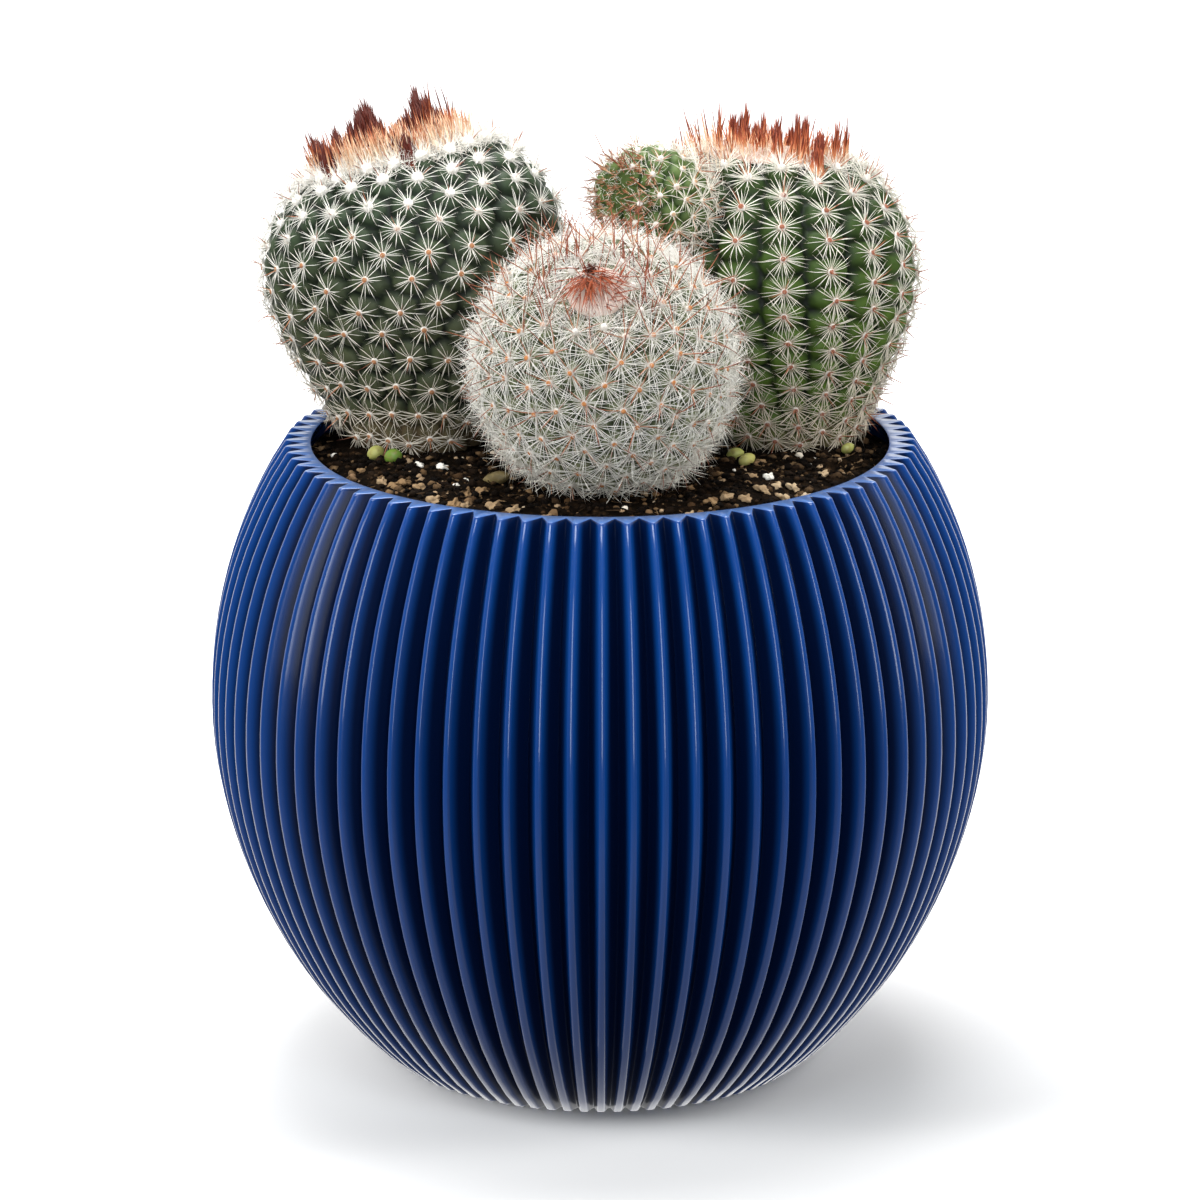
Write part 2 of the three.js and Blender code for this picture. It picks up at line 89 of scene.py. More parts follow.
def inner_radius(height):
    return crest_radius(height) * (1 - PLEAT_DEPTH) - POT_WALL


def pleat_section(height):
    """One pleat from crest to crest: each point's place across it, as a share of its width, and
    its depth, as a share of the valley's."""
    width = 2 * math.pi * crest_radius(height) / PLEATS
    share = 1 - height / POT_HEIGHT
    flat = (CREST_AT_RIM + (CREST_AT_FOOT - CREST_AT_RIM) * share) / 2 / width
    left_edge, right_edge, valley, beside = (size * MM / width for size in (0.38, 0.2, 0.2, 0.3))
    middle = 0.54
    by_left, by_right, by_valley = 0.045, 0.025, 0.95
    right_end = flat + right_edge
    left_end = 1 - flat - left_edge
    to_right = (by_valley - by_right) / (middle - valley - right_end)
    to_left = (by_valley - by_left) / (left_end - middle - valley)
    return (
        (left_end - beside - 1, by_left + to_left * beside),
        (left_end - 1, by_left),
        (-flat, 0),
        (flat, 0),
        (right_end, by_right),
        (right_end + beside, by_right + to_right * beside),
        (middle - valley - beside, by_valley - to_right * beside),
        (middle - valley, by_valley),
        (middle, 1),
        (middle + valley, by_valley),
        (middle + valley + beside, by_valley - to_left * beside),
    )


# The wall's rings, up the outside, over the rim and down the inside to the floor: each as its
# height, 1 where it is pleated, and how far it is rounded in.
pot_rings = [(height, 1, 0) for height in np.linspace(0, POT_HEIGHT - EDGE_ROUND, POT_BANDS)]
pot_rings[0] = (0, 1, EDGE_ROUND)
pot_rings.insert(1, (EDGE_ROUND, 1, 0))
pot_rings += [(POT_HEIGHT - 0.12 * MM, 1, 0.06 * MM), (POT_HEIGHT, 1, 0.24 * MM)]
pot_rings += [(POT_HEIGHT, 0, 0.4 * MM), (POT_HEIGHT - 0.12 * MM, 0, 0.1 * MM)]
pot_rings += [(POT_HEIGHT - drop * MM, 0, 0) for drop in (0.5, 1.5, 3, 6, 10)]
pot_rings += [(POT_HEIGHT * share, 0, 0) for share in (0.85, 0.7, 0.55, 0.4, 0.25, 0.12)]
pot_rings.append((POT_FLOOR, 0, 0))

deselect()
bpy.ops.mesh.primitive_circle_add(vertices=PLEATS * PLEAT_POINTS, radius=1)
pot = bpy.context.object
pot.name = "pleated_pot"
edit_all()
bpy.ops.mesh.edge_face_add()
for _ in pot_rings[1:]:
    extrude(1)
bpy.ops.object.mode_set(mode="OBJECT")
sections = [pleat_section(height) for height, _, _ in pot_rings]
# How deep each point lies in its pleat, as a share, with a value of its own for the rim's land,
# which the finish paints with a highlight.
RIM_HIGHLIGHT_MARK = -0.4
depths = []
for vertex in pot.data.vertices:
    ring = round(vertex.co.z)
    column = round(math.atan2(vertex.co.y, vertex.co.x) / 2 / math.pi * PLEATS * PLEAT_POINTS)
    pleat, point = divmod(column, PLEAT_POINTS)
    height, is_pleated, inset = pot_rings[ring]
    across, deep = sections[ring][point]
    turn = PLEAT_TURN + 2 * math.pi * (pleat + across) / PLEATS
    radius = crest_radius(height) * (1 - PLEAT_DEPTH * deep) - inset
    depths.append(RIM_HIGHLIGHT_MARK if height > POT_HEIGHT - 0.1 * MM else deep * is_pleated)
    if not is_pleated:
        radius = inner_radius(height) + inset
    vertex.co = (radius * math.cos(turn), radius * math.sin(turn), height)


def add_mark(piece, name, values):
    """Stores a number at each of a piece's points."""
    attribute = piece.data.attributes.new(name, "FLOAT", "POINT")
    attribute.data.foreach_set("value", np.asarray(values, np.float32).ravel())


add_mark(pot, "depth", depths)


class Value:
    """A value in a material or in the air. Arithmetic on it adds the Math nodes."""

    def __init__(self, shading, socket):
        self.shading = shading
        self.socket = socket

    def math(self, operation, other):
        return self.shading.add("ShaderNodeMath", {"operation": operation}, {0: self, 1: other})

    def __add__(self, other):
        return self.math("ADD", other)

    def __sub__(self, other):
        return self.math("SUBTRACT", other)

    def __rsub__(self, other):
        return self * -1 + other

    def __mul__(self, other):
        return self.math("MULTIPLY", other)

    __radd__ = __add__
    __rmul__ = __mul__

    def between(self, low, high):
        """0 under low, 1 over high, and smooth from one to the other."""
        settings = {"interpolation_type": "SMOOTHSTEP"}
        return self.shading.add("ShaderNodeMapRange", settings, {0: self, 1: low, 2: high})


class Shading:
    """The shader nodes of a material, or of the air round the object."""

    def __init__(self, owner):
        owner.use_nodes = True
        self.tree = owner.node_tree

    def add(self, kind, settings, sockets, result=0):
        node = self.tree.nodes.new(kind)
        for name, setting in settings.items():
            setattr(node, name, setting)
        self.feed(node, sockets)
        return Value(self, node.outputs[result])

    def feed(self, node, sockets):
        for name, value in sockets.items():
            if isinstance(value, Value):
                self.tree.links.new(value.socket, node.inputs[name])
            else:
                node.inputs[name].default_value = value


class Finish(Shading):
    """A material for one of the object's surfaces, with the Principled shader's fixed values."""

    def __init__(self, name, **fixed):
        self.material = bpy.data.materials.new(name)
        super().__init__(self.material)
        self.place = self.add("ShaderNodeTexCoord", {}, {}, "Object")
        self.shade(fixed)

    def shade(self, values):
        """Sets or links the Principled shader's sockets, their names with _ for a space."""
        sockets = {name.replace("_", " "): value for name, value in values.items()}
        self.feed(self.tree.nodes["Principled BSDF"], sockets)

    def noise(self, size, detail=3, roughness=0.5, distortion=0):
        """Cloudy noise from 0 to 1, with blots of the given size in metres."""
        sockets = {"Vector": self.place, "Scale": 1 / size, "Detail": detail}
        sockets |= {"Roughness": roughness, "Distortion": distortion}
        return self.add("ShaderNodeTexNoise", {}, sockets)

    def mark(self, name):
        """A number that the mesh carries at each of its points."""
        return self.add("ShaderNodeAttribute", {"attribute_name": name}, {}, "Fac")

    def mix(self, share, *colours):
        """From the first colour to the second, as share goes from 0 to 1."""
        first, second = (shade if isinstance(shade, Value) else (*shade, 1) for shade in colours)
        sockets = {"Factor": share, 6: first, 7: second}
        return self.add("ShaderNodeMix", {"data_type": "RGBA"}, sockets, 2)

    def shades(self, value, *stops):
        """Colours along a value, from pairs of a place and a colour."""
        colour = self.add("ShaderNodeValToRGB", {}, {0: value})
        ramp = colour.socket.node.color_ramp
        while len(ramp.elements) < len(stops):
            ramp.elements.new(0.5)
        for element, (place, shade) in zip(ramp.elements, stops):
            element.position = place
            element.color = (*shade, 1)
        return colour

    def bump(self, height, distance, strength=1):
        """The normal of a surface with this relief, distance in metres."""
        sockets = {"Height": height, "Distance": distance, "Strength": strength}
        return self.add("ShaderNodeBump", {}, sockets)

    def paint(self, piece, **varying):
        self.shade(varying)
        piece.data.materials.clear()
        piece.data.materials.append(self.material)


plastic = Finish("satin_cobalt_plastic", Specular_IOR_Level=0.1, Coat_Roughness=0.13)
cloud = plastic.noise(30 * MM)
grain = plastic.noise(0.35 * MM, detail=2)
cobalt = plastic.mix(cloud, (0.0018, 0.033, 0.165), (0.0024, 0.04, 0.185))
depth = plastic.mark("depth")
# Painted shade: down into each pleat's valley the cobalt darkens to near-black navy, by the depth
# mark.
cobalt_with_painted_shade = plastic.mix(depth.between(0, 0.55) * 0.92, cobalt, (0.0002, 0.0022, 0.015))
plastic.paint(
    pot,
    # Painted highlight: the rim's flat land is a paler blue.
    Base_Color=plastic.mix(depth.between(-0.3, -0.05), (0.05, 0.115, 0.3), cobalt_with_painted_shade),
    Roughness=0.3 + 0.08 * cloud,
    Coat_Weight=1 - 0.9 * depth.between(0.03, 0.25) + 0.4 * depth.between(0.96, 1),
    Normal=plastic.bump(grain, 0.02 * MM, 0.3),
)


def finish_shape(piece, smooth_angle=180):
    """Shades a finished piece smooth, apart from edges sharper than the angle."""
    deselect()
    piece.select_set(True)
    bpy.context.view_layer.objects.active = piece
    bpy.ops.object.shade_smooth_by_angle(angle=math.radians(smooth_angle))


finish_shape(pot, 42)
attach(pot, "root")
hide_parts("pot")


# The soil: dark potting soil that fills the pot to a few millimetres under the rim and is heaped
# a little round the stems. Its surface is crumbs of peat, with fibres and clods in it.

SOIL_TOP = 144 * MM
SOIL_DROP = 2.8 * MM
MOUND_RADIUS = 50 * MM
SOIL_BOTTOM = 120 * MM
SOIL_EDGE = inner_radius(SOIL_TOP - SOIL_DROP) - 0.05 * MM
SOIL_SIDES = 180
SOIL_RINGS = 80
CLOD_SIZE, CLOD_RISE = 8 * MM, 1.1 * MM
LUMP_SIZE, LUMP_RISE = 1.9 * MM, 0.7 * MM
CRUMB_SINK = 0.5 * MM


def soil_height(x, y):
    """The soil's surface without its crumbs."""
    share = (math.hypot(x, y) - MOUND_RADIUS) / (SOIL_EDGE - MOUND_RADIUS)
    share = min(max(share, 0), 1)
    return SOIL_TOP - SOIL_DROP * share * share * (3 - 2 * share)


def crumbs(x, y):
    """How far crumbs and clods raise the soil at a point."""
    clods = noise.fractal(Vector((x, y, 0)) / CLOD_SIZE, 1, 2, 3)
    lumps = noise.fractal(Vector((x, y, 5)) / LUMP_SIZE, 1, 2, 2)
    return CLOD_RISE * clods + LUMP_RISE * lumps - CRUMB_SINK


deselect()
soil_foot = (0, 0, SOIL_BOTTOM)
bpy.ops.mesh.primitive_circle_add(vertices=SOIL_SIDES, radius=SOIL_EDGE, location=soil_foot)
soil = bpy.context.object
soil.name = "potting_soil"
bpy.ops.object.transform_apply(location=True)
edit_all()
bpy.ops.mesh.edge_face_add()
extrude(SOIL_TOP - SOIL_BOTTOM)
for ring in range(1, SOIL_RINGS):
    extrude(0)
    shrink = (SOIL_RINGS - ring) / (SOIL_RINGS - ring + 1)
    bpy.ops.transform.resize(value=(shrink, shrink, 1), center_override=(0, 0, SOIL_TOP))
bpy.ops.object.mode_set(mode="OBJECT")
for vertex in soil.data.vertices:
    if vertex.co.z > SOIL_BOTTOM + 1 * MM:
        x, y, _ = vertex.co
        vertex.co.z = soil_height(x, y) + crumbs(x, y)

peat = Finish("dark_peat", Specular_IOR_Level=0.05)
clods = peat.noise(2.4 * MM, detail=5, roughness=0.65)
fibres = peat.noise(0.7 * MM, detail=4, roughness=0.7, distortion=1.5)
peat_colour = peat.shades(
    clods,
    (0.3, (0.0015, 0.001, 0.0006)),
    (0.52, (0.005, 0.003, 0.0017)),
    (0.64, (0.018, 0.01, 0.005)),
    (0.78, (0.08, 0.045, 0.022)),
)
peat.paint(
    soil,
    Base_Color=peat.mix(fibres.between(0.62, 0.78) * 0.5, peat_colour, (0.09, 0.05, 0.024)),
    Roughness=0.85 + 0.1 * clods,
    Normal=peat.bump(clods + 0.6 * fibres, 0.5 * MM, 0.9),
)
finish_shape(soil, 60)
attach(soil, "root")
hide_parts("soil")


# The stems: three grown plants and a young head on the right one's shoulder. Each swells along a
# bent axis, and its skin is raised in tubercles, or in ribs, that carry the areoles.

GOLDEN_ANGLE = math.pi * (3 - math.sqrt(5))
TUBERCLE_HEIGHT = 2.3 * MM
# How much of a tubercle is a cone and of a stem's relief its ribs, and the skin's own level in it.
CONE_SHARE = 0.35
RIB_SHARE = 0.16
SKIN_LEVEL = 0.6
BODY_SEGMENTS = 180
BODY_RINGS = 120
RIBS = 18
RIB_TURN = math.radians(271)
AREOLE_ROWS = 16
CLEAR_OF_SOIL = 1.2 * MM


def club(root, girth, girth_at, swell, roundness):
    """A club's radius along its axis: it swells to its girth and closes in a dome."""

    def radius_at(t):
        rising = np.sin(np.pi / 2 * np.clip(t / girth_at, 0, 1)) ** swell
        closing = np.clip((t - girth_at) / (1 - girth_at), 0, 1) ** roundness
        dome = girth * (1 - closing) ** (1 / roundness)
        return MM * np.where(t < girth_at, root + (girth - root) * rising, dome)

    return radius_at


def ball(radius):
    return lambda t: MM * 2 * radius * np.sqrt(np.clip(t * (1 - t), 0, 1))


def unit(vectors):
    return vectors / (np.linalg.norm(vectors, axis=-1, keepdims=True) + 1e-12)


class Stem:
    """The smooth form of a stem: an axis from root over bend to tip, and a radius along it."""

    def __init__(self, root, bend, tip, radius_at, crown):
        self.axis = [np.array(point) * MM for point in (root, bend, tip)]
        self.radius_at = radius_at
        self.crown = crown * MM
        fine = np.linspace(1, 0.5, 2000)
        crown_at = fine[np.argmax(radius_at(fine) >= self.crown)]
        self.steps = np.linspace(crown_at, 0.02, 400)
        radii = radius_at(self.steps)
        moves = np.linalg.norm(np.diff(self.centre(self.steps), axis=0), axis=1)
        runs = np.hypot(moves, np.diff(radii))
        self.lengths = self.crown + np.concatenate([[0], np.cumsum(runs)])
        bands = np.pi * (radii[1:] + radii[:-1]) * runs
        self.areas = np.concatenate([[0], np.cumsum(bands)])
        self.end = self.lengths[-1]
        self.top = self.frame_at(crown_at)

    def centre(self, t):
        t = np.asarray(t, float)[..., None]
        root, bend, tip = self.axis
        return (1 - t) ** 2 * root + 2 * t * (1 - t) * bend + t * t * tip

    def frame_at(self, t):
        """The axis point, and the directions along, across to the right, and behind it."""
        along = unit(self.centre(t + 1e-3) - self.centre(t - 1e-3))
        across = unit(np.cross([0, 1, 0], along))
        return self.centre(t), along, across, np.cross(along, across)

    def point(self, length, turn):
        """A point of the skin by its way from the crown's middle and its turn."""
        side = np.clip(length, self.crown, self.end)
        t = np.interp(side, self.lengths, self.steps)
        radius = np.where(length < self.crown, length, self.radius_at(t))
        radius = radius * np.clip(1 - (length - self.end) / (0.2 * self.end), 0, 1)
        centre, _, across, behind = self.frame_at(t)
        spread = across * np.cos(turn)[..., None] + behind * np.sin(turn)[..., None]
        return centre + spread * radius[..., None]

    def skin(self, length, turn):
        """Points of the skin with their outward normals and the directions to the crown."""
        length, turn = np.asarray(length, float), np.asarray(turn, float)
        point = self.point(length, turn)
        up = self.point(np.maximum(length - 0.2 * MM, 0), turn) - point
        round_about = self.point(length, turn + 1e-3) - self.point(length, turn - 1e-3)
        return point, unit(np.cross(round_about, up)), unit(up)

    def spiral(self, count, seed):
        """Areoles in the crossing spirals of a golden angle, as lengths and turns."""
        chance = np.random.default_rng(seed)
        numbers = np.arange(count)
        area = (numbers + 0.6) / count * self.areas[-1]
        length = np.interp(area, self.areas, self.lengths)
        turn = numbers * GOLDEN_ANGLE + chance.normal(0, 0.018, count)
        return length + chance.normal(0, 0.35 * MM, count), turn

    def ribs(self, count, pitch, widening, twist, seed):
        """Areoles in columns, one just right of the front, half a step from the next. The pitch
        in mm widens by a share each row, and the columns twist by an angle for each metre."""
        chance = np.random.default_rng(seed)
        rib, row = np.meshgrid(np.arange(count), np.arange(AREOLE_ROWS), indexing="ij")
        row = row + 0.3 + 0.5 * (rib % 2) + chance.normal(0, 0.05, row.shape)
        length = self.crown + pitch * MM * row * (1 + widening * row)
        turn = RIB_TURN + 2 * np.pi * rib / count + twist * (length - self.crown)
        kept = length < self.end
        return length[kept], (turn + chance.normal(0, 0.012, row.shape))[kept]


def put_in_place(piece, points):
    piece.data.vertices.foreach_set("co", np.asarray(points, np.float32).ravel())
    piece.data.update()


def points_of(piece):
    points = np.zeros(len(piece.data.vertices) * 3, np.float32)
    piece.data.vertices.foreach_get("co", points)
    return points.reshape(-1, 3).astype(float)


def grow_body(name, stem, areoles, reach, height, ribs=0, detail=1):
    """A stem's body: a sphere drawn over the stem's form and raised round its areoles, to
    tubercles of a reach in mm and a height as a share of the usual one."""
    deselect()
    segments, rings = round(BODY_SEGMENTS * detail), round(BODY_RINGS * detail)
    bpy.ops.mesh.primitive_uv_sphere_add(segments=segments, ring_count=rings, radius=1)
    body = bpy.context.object
    body.name = name
    places = points_of(body)
    length = np.arccos(np.clip(places[:, 2], -1, 1)) / np.pi * stem.end * 1.2
    turn = np.arctan2(places[:, 1], places[:, 0])
    point, normal, _ = stem.skin(length, turn)
    tree = KDTree(len(areoles[0]))
    for number, areole in enumerate(areoles[0]):
        tree.insert(areole, number)
    tree.balance()
    near = np.array([[found[2] for found in tree.find_n(place, 2)] for place in point])
    reach = reach * MM
    border = np.clip((near[:, 1] - near[:, 0]) / (0.8 * reach), 0, 1)
    cone = np.clip(1 - near[:, 0] / (1.3 * reach), 0, 1)
    hill = (1 - CONE_SHARE) * (1 - (1 - border) ** 2) + CONE_SHARE * cone
    if ribs:
        beside = np.abs(((turn - RIB_TURN) / (2 * np.pi) * ribs + 0.5) % 1 - 0.5) * 2
        hill = (1 - RIB_SHARE) * hill + RIB_SHARE * (1 - beside ** 2.2)
    fade = np.clip((length - 0.7 * stem.crown) / (0.4 * stem.crown), 0, 1)
    fade = fade * np.clip((stem.end - length) / (3 * MM), 0, 1)
    relief = fade * (height * TUBERCLE_HEIGHT) * (hill - SKIN_LEVEL)
    put_in_place(body, point + normal * relief[:, None])
    add_mark(body, "hill", hill)
    add_mark(body, "age", np.clip(length / stem.end, 0, 1))
    finish_shape(body)
    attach(body, "root")
    return body


def skin_finish(name, body, painted_furrow_shade, flank, crest, low):
    """A waxy cactus skin: green darkened to near black in the furrows as painted shade, paler and
    bloomed on the tubercles, and of another green low down."""
    skin = Finish(name, Specular_IOR_Level=0.22)
    mottle = skin.noise(2.5 * MM, detail=4)
    speckle = skin.noise(0.35 * MM, detail=2)
    hill = skin.mark("hill") + 0.3 * (mottle - 0.5)
    age = skin.mark("age") + 0.2 * (mottle - 0.5)
    # Painted shade: the furrows, where the relief is lowest, take a near-black green.
    green = skin.shades(hill, (0.15, painted_furrow_shade), (0.5, flank), (0.92, crest))
    green = skin.mix(age.between(0.3, 0.75) * hill.between(0.15, 0.8), green, low)
    cork = age.between(0.85, 1.0)
    skin.paint(
        body,
        Base_Color=skin.mix(cork * 0.7, green, (0.16, 0.11, 0.06)),
        Roughness=0.42 + 0.25 * mottle,
        Normal=skin.bump(mottle + 0.3 * speckle, 0.12 * MM, 0.6),
    )


def seat(stem, places, raised):
    """The areoles above the soil, raised by a share of the tubercles' height: places, normals,
    directions to the crown, and how far they are from it in mm."""
    length, turn = places
    point, normal, up = stem.skin(length, turn)
    above = point[:, 2] > SOIL_TOP + CLEAR_OF_SOIL
    point = point + normal * (raised * TUBERCLE_HEIGHT)
    return point[above], normal[above], up[above], (length - stem.crown)[above] / MM


left_stem = Stem((-43, 11.8, 137), (-38.5, 26.5, 177.6), (-48.3, 30.5, 211.1),
                 club(10.9, 34.8, 0.58, 0.94, 2.15), 19)
right_stem = Stem((46.5, 13, 137), (38.3, 24, 179), (41.4, 27.5, 211.9),
                  club(10.7, 31.3, 0.55, 1.1, 1.95), 17)
front_stem = Stem((2.2, -6.9, 148.5), (0.8, -25, 170.4), (-0.6, -43.1, 192.3), ball(28.4), 7)
young_head = Stem((27, 14, 188.5), (13.5, 11, 200.5), (3.8, -4, 206.6),
                  club(7, 12.5, 0.6, 0.8, 2), 5)

left_areoles = seat(left_stem, left_stem.ribs(42, 11.8, 0.028, 4, 11), 0.36)
right_areoles = seat(right_stem, right_stem.ribs(RIBS, 8.6, -0.02, 0.6, 12), 0.5)
front_areoles = seat(front_stem, front_stem.spiral(265, 13), 0.24)
young_areoles = seat(young_head, young_head.spiral(105, 14), 0.28)

left_body = grow_body("stem_left_body", left_stem, left_areoles, 4.6, 1)
right_body = grow_body("stem_right_body", right_stem, right_areoles,
                       4.6, 1.5, ribs=RIBS)
front_body = grow_body("stem_front_body", front_stem, front_areoles, 4, 0.7)
young_body = grow_body("young_head_body", young_head, young_areoles,
                       2.4, 0.8, detail=0.6)
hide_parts("stem_left")
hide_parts("stem_right")
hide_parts("stem_front")
# Each skin's first green is the near-black painted shade of its furrows.
skin_finish("blue_green_skin", left_body, (0.002, 0.004, 0.0015), (0.008, 0.016, 0.007),
            (0.038, 0.06, 0.031), (0.05, 0.058, 0.028))
skin_finish("fresh_green_skin", right_body, (0.002, 0.005, 0.001), (0.01, 0.023, 0.004),
            (0.032, 0.06, 0.014), (0.065, 0.115, 0.016))
# The ball's low green is paler than its crests: painted light on its lower part.
skin_finish("silver_green_skin", front_body, (0.018, 0.025, 0.01), (0.06, 0.075, 0.035),
            (0.15, 0.17, 0.09), (0.22, 0.23, 0.12))
skin_finish("young_green_skin", young_body, (0.014, 0.03, 0.006), (0.05, 0.09, 0.02),
            (0.11, 0.16, 0.05), (0.07, 0.1, 0.03))


# The spines: each areole holds a star of fine white radial spines, which lie over the skin, and a
# few stiffer reddish central ones that stand out. One spine is modelled and sown by copies.

def shape_of(piece):
    """A modelled piece's points and triangles, to sow copies of it; the piece itself goes."""
    points = points_of(piece)
    faces = np.array([list(face.vertices) for face in piece.data.polygons])
    bpy.data.objects.remove(piece)
    return points, faces


def model_spine(levels):
    """A slim three-sided spine, one unit long, drawn through levels of height and width."""
    deselect()
    bpy.ops.mesh.primitive_circle_add(vertices=3, radius=1)
    edit_all()
    height, width = 0, 1
    for next_height, next_width in levels:
        extrude(next_height - height)
        narrower = next_width / width
        bpy.ops.transform.resize(value=(narrower, narrower, 1), center_override=(0, 0, 0))
        height, width = next_height, next_width
    extrude(1 - height)
    bpy.ops.mesh.merge(type="CENTER")
    bpy.ops.mesh.select_all(action="SELECT")
    bpy.ops.mesh.quads_convert_to_tris()
    bpy.ops.mesh.normals_make_consistent(inside=False)
    bpy.ops.object.mode_set(mode="OBJECT")
    return shape_of(bpy.context.object)


spine_shape = model_spine([(0.6, 0.8)])
bristle_shape = model_spine([(0.33, 0.95), (0.68, 0.75)])
# A direction that no spine has, to lay its sides by.
ASKEW = (0.31, 0.52, 0.79)


def sow(name, slot, shape, roots, aims, widths, sways=None, **marks):
    """Copies a shape onto each root, drawn out along its aim, as wide as its width. A sway
    bends it, the more the further out."""
    points, faces = shape
    along = unit(aims)
    across = unit(np.cross(along, ASKEW))
    behind = np.cross(along, across)
    x, y, z = points.T[:, None, :, None]
    spread = across[:, None] * x + behind[:, None] * y
    placed = roots[:, None] + spread * widths[:, None, None] + aims[:, None] * z
    if sways is not None:
        placed = placed + sways[:, None] * z * z
    numbers = faces[None] + (np.arange(len(roots)) * len(points))[:, None, None]
    mesh = bpy.data.meshes.new(name)
    mesh.from_pydata(placed.reshape(-1, 3), [], numbers.reshape(-1, 3))
    piece = bpy.data.objects.new(name, mesh)
    bpy.context.scene.collection.objects.link(piece)
    add_mark(piece, "along", np.tile(points[:, 2], len(roots)))
    for mark, values in marks.items():
        add_mark(piece, mark, np.repeat(np.asarray(values, float), len(points)))
    finish_shape(piece)
    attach(piece, "root")
    return piece


WHOLE_STEM = (-99, 999)
ROOT_RING = 0.3 * MM


class Coat:
    """A coat of spines, bristles or wool in the making, on the areoles where it is given any.
    Lengths and widths are in mm, tilts in degrees, and spans are distances from the crown."""

    def __init__(self, seed, areoles=None):
        self.chance = np.random.default_rng(seed)
        self.areoles = areoles
        self.parts = []

    def vary(self, value, share, count):
        return value * self.chance.uniform(1 - share, 1 + share, count)

    def add(self, roots, aims, widths, sways, rust, ages):
        count = len(roots)
        tones = self.chance.random(count)
        rust, ages = np.broadcast_to(rust, count), np.broadcast_to(ages, count)
        self.parts.append((roots, aims, widths, sways, rust, ages, tones))

    def pick(self, span, count):
        """The areoles in a span, each repeated count times."""
        chosen = (self.areoles[3] >= span[0]) & (self.areoles[3] < span[1])
        return [np.repeat(part[chosen], count, axis=0) for part in self.areoles]

    def stars(self, count, length, width, tilt, spread, span=WHOLE_STEM, rust=0.0, bend=-0.08,
              lean=0):
        """Spines round each areole, tilted from the skin's normal. Lean draws them towards the
        crown."""
        points, normals, ups, ages = self.pick(span, count)
        total = len(points)
        start = np.repeat(self.chance.random(total // count), count)
        number = np.tile(np.arange(count), total // count)
        heading = 2 * np.pi * (number + start + self.chance.uniform(-0.3, 0.3, total)) / count
        tilts = np.radians(tilt + self.chance.uniform(-spread, spread, total))[:, None]
        sides = np.cross(normals, ups)
        flat = ups * np.cos(heading)[:, None] + sides * np.sin(heading)[:, None]
        aims = unit(normals * np.cos(tilts) + flat * np.sin(tilts) + ups * lean)
        long = self.vary(length * MM, 0.25, total)[:, None]
        drift = self.chance.uniform(-0.15, 0.15, total)[:, None]
        sways = (normals * bend + flat * 0.02 + np.cross(normals, flat) * drift) * long
        self.add(points + flat * ROOT_RING, aims * long, self.vary(width * MM, 0.2, total), sways,
                 self.vary(rust, 0.15, total), ages)

    def puffs(self, count, length, width, span=WHOLE_STEM):
        """A tuft of short wool on each areole."""
        self.curl(*self.pick(span, count)[:3], length, width, 55)

    def curl(self, points, normals, ups, length, width, tilt):
        count = len(points)
        heading = self.chance.uniform(0, 2 * np.pi, count)[:, None]
        tilts = np.radians(np.abs(self.chance.normal(0, tilt, count)))[:, None]
        flat = ups * np.cos(heading) + np.cross(normals, ups) * np.sin(heading)
        long = self.vary(length * MM, 0.4, count)[:, None]
        aims = (normals * np.cos(tilts) + flat * np.sin(tilts)) * long
        sways = self.chance.normal(0, 0.25, (count, 3)) * long
        self.add(points, aims, self.vary(width * MM, 0.3, count), sways, 0.0, 0.0)

    def grow(self, name, slot, shape=spine_shape):
        parts = (np.concatenate(values) for values in zip(*self.parts))
        roots, aims, widths, sways, rust, ages, tones = parts
        return sow(name, slot, shape, roots, aims, widths, sways, rust=rust, age=ages, tone=tones)


def spine_finish(name, coat, root, middle, tip, old):
    """White spines, a little tan at root and tip, and rust-coloured ones among them."""
    spine = Finish(name, Specular_IOR_Level=0.3, Roughness=0.5)
    along = spine.mark("along")
    tone = spine.mark("tone")
    white = spine.shades(along, (0, root), (0.25, middle), (0.8, middle), (1, tip))
    white = spine.mix(tone * 0.3, white, (0.55, 0.52, 0.44))
    white = spine.mix(spine.mark("age").between(20, 75) * 0.6, white, old)
    rusty = spine.shades(
        along + 0.3 * (tone - 0.5),
        (0.05, (0.5, 0.24, 0.12)),
        (0.45, (0.34, 0.11, 0.05)),
        (0.95, (0.11, 0.025, 0.018)),
    )
    spine.paint(coat, Base_Color=spine.mix(spine.mark("rust").between(0.1, 0.8), white, rusty))


left_coat = Coat(21, left_areoles)
left_coat.stars(15, 5.2, 0.1, 72, 11, bend=-0.12)
left_coat.stars(6, 4.4, 0.08, 48, 16)
left_coat.stars(1, 5.2, 0.12, 26, 18, rust=0.8)
left_coat.stars(1, 5.6, 0.13, 26, 16, (0, 12), rust=0.8, lean=0.3)
left_coat.puffs(90, 2.3, 0.08, (0, 16))
left_coat.puffs(40, 1.7, 0.075, (16, 28))
left_coat.puffs(8, 1, 0.065, (26, 90))
left_spines = left_coat.grow("stem_left_spines", "stem_blue_green")
spine_finish("white_spines", left_spines, (0.5, 0.4, 0.3), (0.82, 0.8, 0.74), (0.5, 0.4, 0.3),
             (0.55, 0.47, 0.35))

